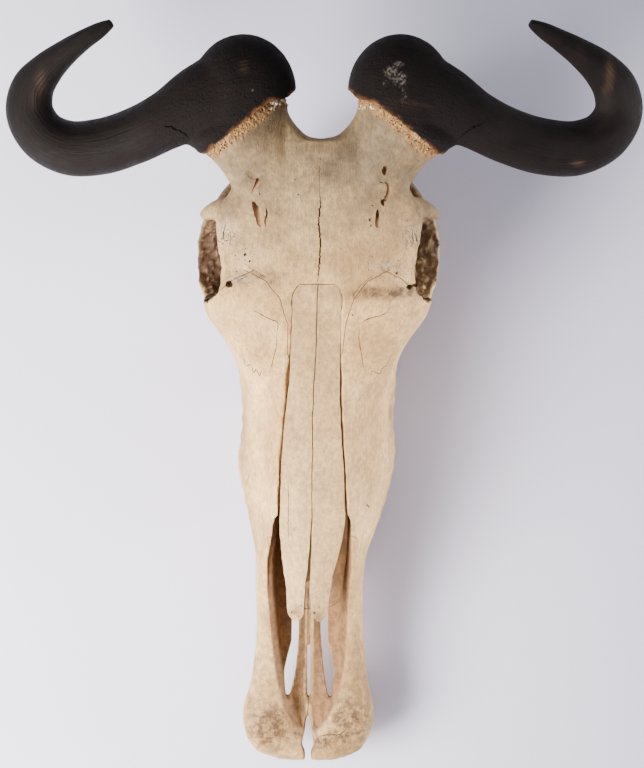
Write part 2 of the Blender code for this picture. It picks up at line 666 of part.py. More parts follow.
def seams(group):
    """Thin cuts that part the skull into its bones."""
    cuts = [
        sheet("premaxilla_seam", PREMAXILLA_SEAM, "X", -90, 90, group),
        sheet("palate_seam", PALATE_SEAM, "Z", -20, 200, group),
    ]
    for word, side in SIDES:
        path = [(side * x, y) for x, y in FRONTAL_SEAM]
        cuts.append(sheet(f"frontal_seam_{word}", path, "Z", -20, 200, group))
        path = [(side * x, y) for x, y in BROW_SEAM]
        cuts.append(sheet(f"brow_seam_{word}", path, "Z", FRONTAL_SEAM_OUTER_LOW, 200, group))
        rings = [[(side * x, y, z) for y, z in CHEEK_BONE] for x in (CHEEK_BONE_INNER_X, 120.0)]
        cuts.append(thickened(loft(f"cheek_seam_{word}", rings, group)))
    return cuts


def bone_name(obj):
    """The bone that a parted piece is, from where its middle lies."""
    x, y, _ = centre_of(obj)
    word = "left" if x > 0 else "right"
    if abs(x) < 6 and y > 40:
        return "cranium"
    if abs(x) > 60 and y > 60:
        return f"zygomatic_{word}"
    return f"premaxilla_{word}" if y < -150 else f"maxilla_{word}"


def horn_sheath(word, side, group):
    """The horn's black sheath: boss, lobe and shaft melted together and cut off square at the rim."""
    rows = np.array(HORN)
    if word == "right":
        rows[:, [0, 3]] += RIGHT_HORN_CHANGE
    shaft = swept(f"horn_{word}", rows, group, side=side, count=26)
    boss = ellipsoid("boss", (BOSS_CENTRE[0] * side, *BOSS_CENTRE[1:]), BOSS_RADII, group)
    lobe = ellipsoid("lobe", (BOSS_LOBE_CENTRE[0] * side, *BOSS_LOBE_CENTRE[1:]), BOSS_LOBE_RADII, group)
    boolean(shaft, [boss, lobe], "UNION")
    rounded_over(shaft, VOXEL_HORN, HORN_TRIANGLES, 5)
    axis = core_axis(side)
    rim = Vector((RIM_CENTRE[0] * side, *RIM_CENTRE[1:]))
    turn = axis.to_track_quat("Z", "Y").to_matrix().to_4x4()
    cutter = prism("below_rim", ((-60, -60), (60, -60), (60, 60), (-60, 60)), -60.0, 0.0, group)
    cutter.data.transform(Matrix.Translation(rim * MM) @ turn)
    core = swept("core_hollow", core_rows(SHEATH_FIT), group, side=side, count=24)
    return boolean(shaft, [cutter, core], "DIFFERENCE")


def put_origin_under_middle(objects):
    points = np.array([v.co for obj in objects for v in obj.data.vertices])
    low, high = points.min(axis=0), points.max(axis=0)
    shift = Matrix.Translation((-(low[0] + high[0]) / 2, -(low[1] + high[1]) / 2, -low[2]))
    for obj in objects:
        obj.data.transform(shift)
    print("origin moved by mm", [round(v / MM, 2) for v in shift.translation])


def build():
    clear_scene()
    part = collection("wildebeest_skull")
    bone = material("bone", BONE_COLOUR, 0.75)
    nasal_bone = material("nasal_bone", NASAL_COLOUR, 0.7)
    keratin = material("horn", HORN_COLOUR, 0.5)

    skull = skull_mass(part)
    leaned([skull])
    boolean(skull, leaned(hollows(part)), "DIFFERENCE")
    teeth = [tooth for _, side in SIDES for tooth in cheek_teeth(side, part)]
    boolean(skull, leaned(teeth), "UNION")
    boolean(skull, [floor_cut(part)], "DIFFERENCE")
    boolean(skull, leaned(seams(part)), "DIFFERENCE")

    bones = {}
    for piece in sorted(separate_pieces(skull), key=volume_of, reverse=True):
        name = bone_name(piece)
        if name in bones:
            print("dropped a scrap of", name, round(volume_of(piece) / MM**3, 1), "mm3", centre_of(piece))
            bpy.data.objects.remove(piece)
            continue
        bones[name] = piece
    for name, piece in bones.items():
        piece.name = name
        piece.data.materials.clear()
        piece.data.materials.append(bone)
    for word, side in SIDES:
        plate = leaned([nasal_plate(f"nasal_{word}", side, part)])[0]
        plate.data.materials.append(nasal_bone)
        bones[plate.name] = plate
    horns = [horn_sheath(word, side, part) for word, side in SIDES]
    for obj in horns:
        obj.data.materials.clear()
        obj.data.materials.append(keratin)
    for obj in [*bones.values(), *horns]:
        obj.data.shade_smooth()
    put_origin_under_middle([*bones.values(), *horns])


build()
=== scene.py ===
# %% [markdown]
# # A wildebeest skull with its horns
#
# The object is the dry, bleached cranium of a blue wildebeest, without its lower jaw, lying on a pale
# table. The lesson builds it as a museum modeller would: first one fine skin of bone with its real
# hollows, then uneven bone, cracks, pits and pores, then the seams that part it into bones, then the two
# nasal bones, the black horn sheaths and the teeth, and last the finishes. Left and right are the
# animal's own, so its left is +X.

# %% Load the frame that the bones have to fit
import math
import random

import bmesh
import bpy
import numpy as np
from mathutils import Matrix, Vector, noise
from mathutils.bvhtree import BVHTree


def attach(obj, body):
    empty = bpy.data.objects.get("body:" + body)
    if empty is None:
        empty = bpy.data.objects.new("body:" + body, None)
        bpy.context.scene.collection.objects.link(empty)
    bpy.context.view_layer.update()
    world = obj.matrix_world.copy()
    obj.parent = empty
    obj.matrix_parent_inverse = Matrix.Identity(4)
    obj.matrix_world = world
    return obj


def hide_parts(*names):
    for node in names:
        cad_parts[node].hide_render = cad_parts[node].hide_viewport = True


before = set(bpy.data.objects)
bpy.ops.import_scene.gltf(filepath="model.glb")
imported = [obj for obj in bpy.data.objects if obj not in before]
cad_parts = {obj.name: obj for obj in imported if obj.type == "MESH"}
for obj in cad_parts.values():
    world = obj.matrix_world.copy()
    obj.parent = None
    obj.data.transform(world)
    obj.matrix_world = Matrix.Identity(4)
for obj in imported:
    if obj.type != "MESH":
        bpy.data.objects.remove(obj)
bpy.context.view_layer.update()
print("frame nodes:", sorted(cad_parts))

# %% [markdown]
# ## The camera and the table
#
# The photograph looks straight down on the skull from about two metres with a long lens. Two numbers fix
# that view: where the eye is, and its focal length in pixels of a picture 644 wide and 768 high. Every
# table below is in millimetres from a working origin under the eye, so one shift brings the finished
# bones into the frame.

# %% Units, the eye and one ray for each pixel
MM = 0.001
WORKING_ORIGIN = Vector((-1.58, 14.79, 0.0))
EYE_HEIGHT = 2000.0
PHOTO_WIDTH, PHOTO_HEIGHT = 644, 768
FOCAL_PX = 2614.0
SENSOR_MM = 36.0

camera = bpy.data.objects.new("eye", bpy.data.cameras.new("eye"))
bpy.context.scene.collection.objects.link(camera)
camera.location = (WORKING_ORIGIN + Vector((0, 0, EYE_HEIGHT))) * MM
camera.data.sensor_width = SENSOR_MM
camera.data.lens = FOCAL_PX * SENSOR_MM / PHOTO_HEIGHT
bpy.context.scene.camera = camera


def ray_of_pixel(px, py):
    """Direction of the view ray through a pixel of the photograph, in working axes."""
    return Vector(((px - PHOTO_WIDTH / 2) / FOCAL_PX, (PHOTO_HEIGHT / 2 - py) / FOCAL_PX, -1.0)).normalized()


print("lens in mm:", round(camera.data.lens, 1))


# %% Small helpers for objects and collections
def new_object(name, mesh):
    obj = bpy.data.objects.new(name, mesh)
    bpy.context.scene.collection.objects.link(obj)
    return obj


def baked(obj):
    """Replaces the object's mesh by its evaluated one, with no modifiers left."""
    graph = bpy.context.evaluated_depsgraph_get()
    mesh = bpy.data.meshes.new_from_object(obj.evaluated_get(graph))
    obj.modifiers.clear()
    obj.data = mesh
    return obj


def points_of(obj):
    """The object's vertices as an array, in millimetres."""
    flat = np.empty(len(obj.data.vertices) * 3, np.float32)
    obj.data.vertices.foreach_get("co", flat)
    return flat.reshape(-1, 3).astype(float) / MM


def set_points(obj, points):
    obj.data.vertices.foreach_set("co", (points * MM).astype(np.float32).ravel())
    obj.data.update()


def normals_of(obj):
    flat = np.empty(len(obj.data.vertices) * 3, np.float32)
    obj.data.vertex_normals.foreach_get("vector", flat)
    return flat.reshape(-1, 3).astype(float)


def surface_of(obj):
    """A search tree over one object, in metres."""
    return BVHTree.FromObject(obj, bpy.context.evaluated_depsgraph_get())


def whole_tree(objects):
    """One search tree over several objects together, in metres."""
    corners, faces = [], []
    for obj in objects:
        faces += [[v + len(corners) for v in face.vertices] for face in obj.data.polygons]
        corners += (points_of(obj) * MM).tolist()
    return BVHTree.FromPolygons(corners, faces)


# %% Floor and studio light
FLOOR_SIZE = 12.0
floor_mesh = bpy.data.meshes.new("table_top")
shaper = bmesh.new()
bmesh.ops.create_grid(shaper, x_segments=1, y_segments=1, size=FLOOR_SIZE / 2)
shaper.to_mesh(floor_mesh)
shaper.free()
table_top = new_object("table_top", floor_mesh)
table_paint = bpy.data.materials.new("table_paper")
table_paint.use_nodes = True
paper = table_paint.node_tree.nodes["Principled BSDF"]
paper.inputs["Base Color"].default_value = (0.765, 0.755, 0.93, 1.0)
paper.inputs["Roughness"].default_value = 0.9
floor_mesh.materials.append(table_paint)

LAMPS = (
    # name, place in metres, width, height, watts, spread in degrees, colour
    ("window_softbox", (-0.70, -0.41, 0.70), 0.60, 0.60, 46.0, 180, (1.0, 0.96, 0.89)),
    ("overhead_fill", (-0.1, 0.3, 2.2), 1.6, 1.6, 10.5, 180, (0.95, 0.96, 1.0)),
    ("side_reflector", (0.85, -0.05, 0.19), 0.62, 0.10, 0.75, 20, (1.0, 0.97, 0.93)),
)
for name, place, width, height, watts, spread, colour in LAMPS:
    lamp = bpy.data.objects.new(name, bpy.data.lights.new(name, "AREA"))
    bpy.context.scene.collection.objects.link(lamp)
    lamp.data.shape = "RECTANGLE"
    lamp.data.size, lamp.data.size_y = width, height
    lamp.data.energy = watts
    lamp.data.spread = math.radians(spread)
    lamp.data.color = colour
    lamp.location = place
    lamp.rotation_euler = (Vector((0, 0, 0.1)) - Vector(place)).to_track_quat("-Z", "Y").to_euler()

sky = bpy.data.worlds.new("room")
sky.use_nodes = True
sky.node_tree.nodes["Background"].inputs["Color"].default_value = (0.90, 0.90, 0.97, 1.0)
sky.node_tree.nodes["Background"].inputs["Strength"].default_value = 0.40
bpy.context.scene.world = sky
print("lamps:", len(LAMPS))

# %% [markdown]
# ## Smooth sections from a few measured rows
#
# A skull has no straight lines, but its shape changes slowly along its length. So a few rows of measures,
# each with a place along the skull and the outline there, hold the whole form. A smooth curve through the
# rows gives as many sections as the mesh needs, and a loft joins them into a closed skin. Sculpting by
# hand could reach the same form, but not from numbers that a reader can check and change.


# %% Curves through rows, closed rings and lofts
def smooth_rows(rows, at, keys=None):
    """The rows read at other keys, on a smooth curve through them all. The first column is the key."""
    rows = np.array(rows, float)
    keys = rows[:, 0] if keys is None else np.array(keys, float)
    slopes = np.gradient(rows, keys, axis=0)
    at = np.array(at, float)
    i = np.clip(np.searchsorted(keys, at) - 1, 0, len(keys) - 2)
    span = (keys[i + 1] - keys[i])[:, None]
    t = (at - keys[i])[:, None] / span
    start = (2 * t**3 - 3 * t**2 + 1) * rows[i] + (t**3 - 2 * t**2 + t) * span * slopes[i]
    end = (3 * t**2 - 2 * t**3) * rows[i + 1] + (t**3 - t**2) * span * slopes[i + 1]
    return start + end


def lengths_along(points):
    return np.concatenate([[0], np.cumsum(np.linalg.norm(np.diff(points, axis=0), axis=1))])


def closed_ring(points, count):
    """A smooth closed ring of count points through the given ones."""
    points = np.array(points, float)
    wrapped = np.vstack([points[-2:], points, points[:3]])
    keys = lengths_along(wrapped)
    return smooth_rows(wrapped, np.linspace(keys[2], keys[-3], count, endpoint=False), keys)


def loft(name, rings):
    """A closed mesh through rings that all have the same number of points, with its faces pointing out."""
    bm = bmesh.new()
    rows = [[bm.verts.new(Vector(p) * MM) for p in ring] for ring in rings]
    for a, b in zip(rows, rows[1:]):
        for i in range(len(a)):
            j = (i + 1) % len(a)
            bm.faces.new((a[i], a[j], b[j], b[i]))
    bm.faces.new(rows[0])
    bm.faces.new(rows[-1])
    bmesh.ops.recalc_face_normals(bm, faces=bm.faces)
    mesh = bpy.data.meshes.new(name)
    bm.to_mesh(mesh)
    bm.free()
    return new_object(name, mesh)


def sections_to_loft(name, table, half_section, step=2.5, count=84):
    """Lofts a table whose rows start with y. half_section gives a row's x and z points on one side."""
    ys = np.linspace(table[0][0], table[-1][0], max(4, int((table[-1][0] - table[0][0]) / step)))
    rings = []
    for row in smooth_rows(table, ys):
        half = half_section(row)
        whole = list(half) + [(-x, z) for x, z in half[-2:0:-1]]
        rings.append([(x, row[0], z) for x, z in closed_ring(whole, count)])
    return loft(name, rings)


def swept(name, rows, up=(0, 0, 1), count=48, step=2.0, side=1):
    """A limb along a path, with oval sections. Each row: x, y, z, half width, half height."""
    rows = np.array(rows, float)
    rows[:, 0] *= side
    keys = lengths_along(rows[:, :3])
    fine = smooth_rows(rows, np.linspace(0, keys[-1], max(4, int(keys[-1] / step))), keys)
    turns = np.linspace(0, 2 * math.pi, count, endpoint=False)
    rings = []
    for row, tangent in zip(fine, np.gradient(fine[:, :3], axis=0)):
        forward = Vector(tangent).normalized()
        across = forward.cross(Vector(up)).normalized()
        rise = across.cross(forward)
        centre = Vector(row[:3])
        rings.append([centre + across * row[3] * math.cos(a) + rise * row[4] * math.sin(a) for a in turns])
    return loft(name, rings)


def ellipsoid(name, centre, radii, segments=48):
    bm = bmesh.new()
    place = Matrix.Translation(Vector(centre) * MM) @ Matrix.Diagonal([r * MM for r in radii] + [1])
    bmesh.ops.create_uvsphere(bm, u_segments=segments, v_segments=segments // 2, radius=1, matrix=place)
    mesh = bpy.data.meshes.new(name)
    bm.to_mesh(mesh)
    bm.free()
    return new_object(name, mesh)


def prism(name, outline, low, high):
    """A flat outline in x and y, raised from low to high."""
    return loft(name, [[(x, y, z) for x, y in outline] for z in (low, high)])


# %% Joining and cutting whole sets of shapes
def boolean(obj, pieces, operation):
    """Joins the pieces to the object, or cuts them from it, and removes them."""
    helper = bpy.data.collections.new("pieces")
    bpy.context.scene.collection.children.link(helper)
    for piece in pieces:
        bpy.context.scene.collection.objects.unlink(piece)
        helper.objects.link(piece)
    step = obj.modifiers.new("boolean", "BOOLEAN")
    step.operation = operation
    step.solver = "MANIFOLD"
    step.operand_type = "COLLECTION"
    step.collection = helper
    step.material_mode = "TRANSFER"
    baked(obj)
    for piece in pieces:
        bpy.data.objects.remove(piece)
    bpy.data.collections.remove(helper)
    return obj


def remeshed(obj, voxel, rounds):
    """One even skin over a joined shape, melted a little where shapes meet."""
    remesh = obj.modifiers.new("remesh", "REMESH")
    remesh.mode = "VOXEL"
    remesh.voxel_size = voxel * MM
    soften = obj.modifiers.new("soften", "SMOOTH")
    soften.factor = 0.5
    soften.iterations = rounds
    return baked(obj)


SIDES = (("left", 1), ("right", -1))


# %% [markdown]
# ## One skin for every bone but the nasals
#
# The real cranium is about thirty bones grown together, so one skin over all of them is the honest start.
# The face, the forehead plate, the brain case and the wings under it are lofts, and bars, rings and
# swellings of bone are added to them. A voxel remesh melts the lot into a single even surface, and a few
# rounds of smoothing give the soft joins that bone has. The lofts repeat the frame's measures, at a finer
# step.

# %% The long face, the forehead and the brain case
VOXEL = 1.25
MELT_ROUNDS = 15
# Outside of the face and muzzle, as half sections from the muzzle tip back to the front of the eyes.
# Each row: y, top z, crest x and z, shoulder x and z, widest x and z, hem x and z, underside z
FACE = (
    (-282.0, 42.0, 10.0, 42.0, 17.0, 40.0, 21.0, 36.0, 16.0, 31.5, 31.0),
    (-277.5, 45.5, 23.0, 45.5, 30.0, 42.0, 34.5, 37.0, 29.0, 31.0, 30.5),
    (-268.0, 49.0, 29.0, 49.5, 39.0, 45.0, 44.0, 38.5, 38.0, 30.5, 30.5),
    (-256.0, 50.5, 32.0, 51.5, 43.5, 47.0, 48.6, 39.0, 42.0, 31.0, 32.0),
    (-242.0, 51.0, 33.5, 52.5, 44.5, 48.0, 49.2, 40.0, 41.5, 32.5, 34.0),
    (-226.0, 51.5, 33.5, 53.5, 41.0, 49.0, 45.0, 41.0, 38.0, 34.0, 36.0),
    (-206.0, 55.0, 33.5, 57.0, 39.0, 51.0, 42.0, 42.0, 35.0, 35.0, 37.0),
    (-180.0, 64.0, 34.0, 65.0, 38.0, 57.0, 39.5, 45.0, 33.0, 35.5, 38.0),
    (-152.0, 79.0, 34.0, 79.0, 38.0, 67.0, 39.5, 49.0, 34.0, 35.0, 38.0),
    (-128.0, 92.0, 33.0, 92.0, 37.5, 76.0, 41.0, 51.0, 37.0, 32.5, 37.0),
    (-105.0, 105.0, 27.5, 104.0, 36.5, 86.0, 47.0, 53.0, 44.0, 29.0, 36.0),
    (-84.0, 116.5, 24.5, 114.5, 36.0, 95.0, 51.8, 56.0, 49.5, 27.0, 36.0),
    (-55.0, 124.5, 23.0, 122.0, 38.5, 101.0, 57.8, 58.0, 52.0, 24.5, 36.0),
    (-25.0, 132.5, 22.0, 130.0, 39.5, 108.0, 52.0, 66.0, 51.5, 22.5, 37.0),
    (0.0, 139.0, 23.0, 136.5, 43.0, 117.0, 53.6, 76.0, 50.0, 21.5, 38.0),
    (18.0, 144.0, 27.0, 141.5, 49.0, 126.0, 59.2, 88.0, 48.0, 34.0, 42.0),
    (34.0, 148.5, 32.0, 145.5, 57.0, 133.0, 68.5, 98.0, 48.0, 56.0, 52.0),
    (50.0, 152.5, 39.0, 150.0, 64.0, 140.0, 79.5, 108.0, 52.0, 78.0, 64.0),
    (64.0, 156.0, 42.0, 153.5, 68.0, 145.0, 83.5, 114.0, 56.0, 92.0, 80.0),
)

# The flat forehead plate behind the eyes, up to the notch between the horns.
# Each row: y, top z, brow x and z, edge x and z, underside z
ROOF = (
    (54.0, 153.5, 40.0, 151.0, 63.0, 141.0, 124.0),
    (78.0, 159.5, 44.0, 157.0, 69.0, 148.0, 130.0),
    (100.0, 164.5, 46.0, 162.0, 71.5, 154.0, 135.0),
    (118.0, 168.5, 48.0, 166.5, 73.0, 158.0, 137.0),
    (129.0, 171.0, 47.0, 169.0, 68.0, 161.0, 138.0),
    (139.0, 173.0, 44.0, 171.5, 62.0, 164.0, 139.0),
    (150.0, 175.0, 41.0, 174.0, 60.0, 167.0, 140.0),
    (162.0, 177.0, 34.0, 176.5, 50.0, 170.0, 143.0),
    (171.0, 177.5, 20.0, 177.5, 30.0, 172.0, 153.0),
)

# The case of the brain below that plate, and the wall between the eye sockets.
# Each row: y, top z, half width, z of the widest place, underside z
BRAINCASE = (
    (28.0, 140.0, 20.0, 90.0, 58.0),
    (52.0, 148.0, 27.0, 100.0, 46.0),
    (76.0, 154.0, 31.0, 105.0, 42.0),
    (100.0, 158.0, 37.0, 102.0, 38.0),
    (122.0, 162.0, 43.0, 98.0, 36.0),
    (142.0, 164.0, 45.0, 95.0, 35.0),
    (156.0, 165.0, 42.0, 92.0, 36.0),
    (165.0, 163.0, 35.0, 92.0, 42.0),
    (168.5, 155.0, 26.0, 95.0, 52.0),
)

# Wings of bone beside the rear nostrils, below the braincase: the same columns
PTERYGOID = (
    (-4.0, 70.0, 17.0, 50.0, 33.0),
    (14.0, 80.0, 17.5, 55.0, 30.0),
    (36.0, 90.0, 17.0, 60.0, 32.0),
    (60.0, 92.0, 16.0, 62.0, 38.0),
    (78.0, 90.0, 14.0, 62.0, 44.0),
)


def face_half(row):
    _, top, cx, cz, sx, sz, wx, wz, hx, hz, floor = row
    return ((0, top), (cx, cz), (sx, sz), (wx, wz), (hx, hz), (hx * 0.72, hz + 2.0), (0, floor))


def roof_half(row):
    _, top, bx, bz, ex, ez, under = row
    return ((0, top), (bx, bz), (ex, ez), (ex - 4, ez - 9), (bx * 0.8, under), (0, under))


def case_half(row):
    _, top, wide, level, under = row
    return ((0, top), (wide * 0.7, top - 6), (wide, level), (wide * 0.62, under + 7), (0, under))


skull = sections_to_loft("skull", FACE, face_half)
mass_pieces = [
    sections_to_loft("forehead", ROOF, roof_half),
    sections_to_loft("braincase", BRAINCASE, case_half),
    sections_to_loft("pterygoid", PTERYGOID, case_half),
]
print("lofts:", 1 + len(mass_pieces))

# %% The eye socket's ring and cup, on each side
# The eye socket: a raised ring of bone round a deep cup that looks out and a little up.
# Each row of the cup: distance out along the axis, half width
ORBIT_CENTRE = (75.5, 90.0, 123.0)
ORBIT_AXIS = (0.95, -0.05, 0.30)
ORBIT_RING_RADIUS = 31.2
ORBIT_RING_HALF_THICKNESS = 4.2
ORBIT_CUP = ((-35.0, 6.0), (-31.0, 15.0), (-22.0, 23.0), (-10.0, 27.0), (0.0, 28.4), (24.0, 30.5))
ORBIT_WALL = 3.6
BROW_BAR = (
    (52.0, 122.0, 160.0, 9.0, 6.0), (68.0, 124.5, 154.0, 7.8, 5.5), (78.5, 122.0, 144.0, 5.4, 4.6),
    (84.0, 115.0, 129.0, 4.6, 4.0), (85.5, 107.0, 112.0, 5.0, 4.0), (84.0, 100.0, 98.0, 6.0, 4.5),
)


def mirrored(point, side):
    return Vector((point[0] * side, point[1], point[2]))


SOCKET_MOUTH = ((0.0, 29.6), (26.0, 34.0))
RIM_TUBE = 3.0


def orbit_cup(side, wall=0.0):
    """The hollow of the eye socket as swept rows, or with wall the bony cup round its inner part."""
    centre, axis = mirrored(ORBIT_CENTRE, side), mirrored(ORBIT_AXIS, side).normalized()
    steps = ORBIT_CUP[:-1] if wall else ORBIT_CUP[:-2] + SOCKET_MOUTH
    return [(*(centre + axis * (out - wall)), r + wall, r + wall) for out, r in steps]


def ring_of_bone(name, side):
    """The raised rim of an eye socket: as wide outside as the plain solid's ring, but thinner."""
    tilt = mirrored(ORBIT_AXIS, side).to_track_quat("Z", "Y").to_matrix()
    centre = mirrored(ORBIT_CENTRE, side)
    bpy.ops.mesh.primitive_torus_add(
        major_radius=(ORBIT_RING_RADIUS + ORBIT_RING_HALF_THICKNESS - RIM_TUBE) * MM,
        minor_radius=RIM_TUBE * MM,
        major_segments=120,
        minor_segments=24,
    )
    ring = bpy.context.active_object
    ring.name = name
    ring.data.transform(Matrix.Translation(centre * MM) @ tilt.to_4x4())
    return ring


for word, side in SIDES:
    mass_pieces.append(ring_of_bone(f"orbit_{word}", side))
    mass_pieces.append(swept(f"orbit_wall_{word}", orbit_cup(side, ORBIT_WALL), up=(0, 1, 0)))
    mass_pieces.append(swept(f"brow_{word}", BROW_BAR, side=side))
print("eye sockets:", len(SIDES))

# %% Bars and swellings: cheek bones, prongs, condyles, ear drums and the notch between the horns
# Cheek bone behind the socket. Each row: x, y, z, half width, half height
CHEEK_BAR = (
    (83.0, 72.0, 100.0, 4.0, 6.5),
    (84.0, 94.0, 95.5, 4.0, 8.0),
    (81.0, 114.0, 91.5, 4.0, 8.0),
    (75.0, 129.0, 87.5, 3.8, 7.5),
    (66.0, 143.0, 83.5, 4.0, 6.8),
    (54.0, 153.0, 80.0, 5.0, 7.0),
    (40.0, 157.0, 78.0, 6.0, 8.0),
)
EAR_PRONG = (
    (33.0, 148.0, 62.0, 9.0, 9.0),
    (35.0, 147.0, 44.0, 8.0, 7.0),
    (36.0, 145.0, 24.0, 6.5, 5.0),
    (36.0, 143.0, 8.0, 5.0, 4.2),
    (36.0, 142.0, -2.5, 4.2, 3.8),
)
BONY_SWELLINGS = (
    # name, centre, radii
    ("condyle", (17.5, 163.0, 47.0), (11.5, 9.5, 16.0)),
    ("ear_drum", (25.0, 121.0, 36.0), (9.5, 14.0, 12.5)),
    ("jaw_socket", (51.0, 142.0, 74.0), (14.0, 11.0, 7.0)),
    ("ear_crest", (40.0, 154.0, 92.0), (9.0, 8.0, 30.0)),
    ("tooth_root_swelling", (48.5, -52.0, 50.0), (8.5, 26.0, 20.0)),
)
BASE_BAR = ((0.0, 92.0, 46.0, 12.0, 9.0), (0.0, 125.0, 42.0, 13.0, 9.0), (0.0, 160.0, 46.0, 17.0, 11.0))
SPINAL_HOLE_CENTRE = (0.0, 168.0, 62.0)
SPINAL_HOLE_RADII = (13.0, 34.0, 13.0)
REAR_NOSTRIL = ((0.0, -2.0, 34.0, 11.0, 12.0), (0.0, 22.0, 40.0, 11.0, 17.0), (0.0, 50.0, 48.0, 10.0, 15.0))
# Raised edge of the forehead plate round the notch between the horn cores
NOTCH_EDGE = (
    (0.0, 161.7, 169.5, 10.0, 8.0), (14.0, 165.5, 170.0, 9.5, 8.0), (25.5, 176.5, 171.5, 8.5, 8.0),
    (31.5, 188.5, 173.0, 7.5, 8.0),
)
for word, side in SIDES:
    mass_pieces.append(swept(f"notch_edge_{word}", NOTCH_EDGE, side=side))
    mass_pieces.append(swept(f"cheek_{word}", CHEEK_BAR, side=side))
    mass_pieces.append(swept(f"prong_{word}", EAR_PRONG, up=(0, 1, 0), side=side))
    for name, (x, y, z), radii in BONY_SWELLINGS:
        mass_pieces.append(ellipsoid(f"{name}_{word}", (x * side, y, z), radii))
mass_pieces.append(swept("base_bar", BASE_BAR))

# %% The bony cores that carry the horn sheaths, then the one skin
# Horn base: the middle of the rim where the sheath starts, and the way the bony core points there
RIM_CENTRE = (55.3, 181.0, 172.0)
CORE_TURN_DEG = 29.0
CORE_RISE_DEG = 18.0
CORE_HALF_WIDTH = 34.5
CORE_HALF_HEIGHT = 23.5
CORE_STUB = 16.0
# Each row: way out along the core from the rim, share of the half width, share of the half height
CORE_STEPS = (
    (-40.0, 0.76, 0.74), (-26.0, 0.79, 0.80), (-12.0, 0.86, 0.92), (0.0, 1.0, 1.0), (12.0, 0.98, 1.08),
)
SHEATH_FIT = 0.9
# Across the rim from its outer to its inner end, and how far out along the core the sheath's edge lies there
RIM_ACROSS = (-34.0, -25.0, -12.0, 0.0, 12.0, 24.0, 34.0)
RIM_RISE = (-3.5, 0.5, 4.5, 8.0, 10.0, 11.0, 6.0)
RIM_RISE_FADE = 20.0


def core_axis(side):
    turn, rise = math.radians(CORE_TURN_DEG), math.radians(CORE_RISE_DEG)
    return Vector((side * math.sin(turn) * math.cos(rise), math.cos(turn) * math.cos(rise), math.sin(rise)))


def core_rows(grow=0.0):
    """The bony core from the forehead into the sheath, as swept rows on the left side."""
    rim, axis = Vector(RIM_CENTRE), core_axis(1)
    wide, high = CORE_HALF_WIDTH + grow, CORE_HALF_HEIGHT + grow
    rows = [(*(rim + axis * out), wide * w, high * h) for out, w, h in CORE_STEPS]
    return rows + [(*(rim + axis * (CORE_STUB + grow)), wide * 0.78, high * 0.74)]


for word, side in SIDES:
    mass_pieces.append(swept(f"core_{word}", core_rows(), side=side, count=72))
boolean(skull, mass_pieces, "UNION")
remeshed(skull, VOXEL, MELT_ROUNDS)
print("skin:", len(skull.data.polygons), "faces")

# %% [markdown]
# ## The lean of this skull
#
# No animal is quite symmetric. Seen from above, this one's muzzle sits about 11 mm to its right of the
# line through the notch, and the ridge of its nose leans a little more. Bending the finished skin by a
# table of shifts keeps every section above symmetric and simple. Cutters get the same bend, so they stay
# in register.

# %% Bend by a table of shifts
# How far this skull's midline leans to the animal's right, from the muzzle to the notch.
# Each row: y, shift of x at the floor, more shift at LEAN_HEIGHT, which grows with the square of z
MIDLINE_LEAN = (
    (-290.0, -10.6, 0.0), (-264.0, -10.5, 0.0), (-241.0, -10.1, 0.0), (-204.0, -9.0, -1.2),
    (-170.0, -8.7, -3.4), (-150.0, -8.9, -2.2), (-128.0, -8.0, -1.6), (-113.0, -6.5, -1.9),
    (-97.0, -5.2, -2.3), (-60.0, -3.8, -3.3), (-40.0, -3.0, -3.5), (-10.0, -2.9, -2.6),
    (20.0, -3.0, -1.3), (70.0, -3.1, 0.0), (110.0, -2.1, 0.0), (129.0, -1.4, 0.0),
    (172.7, 0.0, 0.0), (240.0, 0.0, 0.0),
)
LEAN_HEIGHT = 120.0


def leaned(objects):
    for obj in objects:
        points = points_of(obj)
        shifts = smooth_rows(MIDLINE_LEAN, points[:, 1])
        points[:, 0] += shifts[:, 1] + shifts[:, 2] * (points[:, 2] / LEAN_HEIGHT) ** 2
        set_points(obj, points)
    return objects


leaned([skull])

# %% [markdown]
# ## Hollows
#
# The nose is an open trough under the nasal bones, the eye sockets are cups, the palate has two long
# holes that show the table through them, and the spinal cord leaves by a hole at the back. These are cut
# after the lean, with Boolean differences, and a second light remesh rounds their rims as real thin bone
# is rounded.

# %% Nose, palate, rear nostrils and spinal hole
SUTURE_GAP = 0.3
NASAL_GAP_OPEN = 1.1
# Nose cavity, open at the top in front of the slot for the nasal bones.
# Each row: y, floor half width, floor z, mouth half width, mouth z
NOSE_CAVITY = (
    (-262.0, 9.0, 52.5, 14.0, 62.0),
    (-246.0, 10.0, 46.0, 21.0, 62.0),
    (-232.0, 12.0, 43.5, 27.0, 66.0),
    (-206.0, 16.0, 41.5, 30.5, 72.0),
    (-180.0, 18.0, 41.5, 31.5, 84.0),
    (-152.0, 19.0, 42.0, 31.5, 100.0),
    (-128.0, 21.0, 42.5, 30.5, 112.0),
    (-110.0, 23.0, 43.0, 26.5, 120.0),
    (-98.0, 24.0, 43.5, 24.0, 112.0),
    (-80.0, 24.0, 44.0, 21.0, 107.0),
    (-50.0, 23.0, 46.0, 19.0, 112.0),
    (-20.0, 19.0, 50.0, 16.0, 119.0),
    (6.0, 12.0, 60.0, 12.0, 120.0),
)
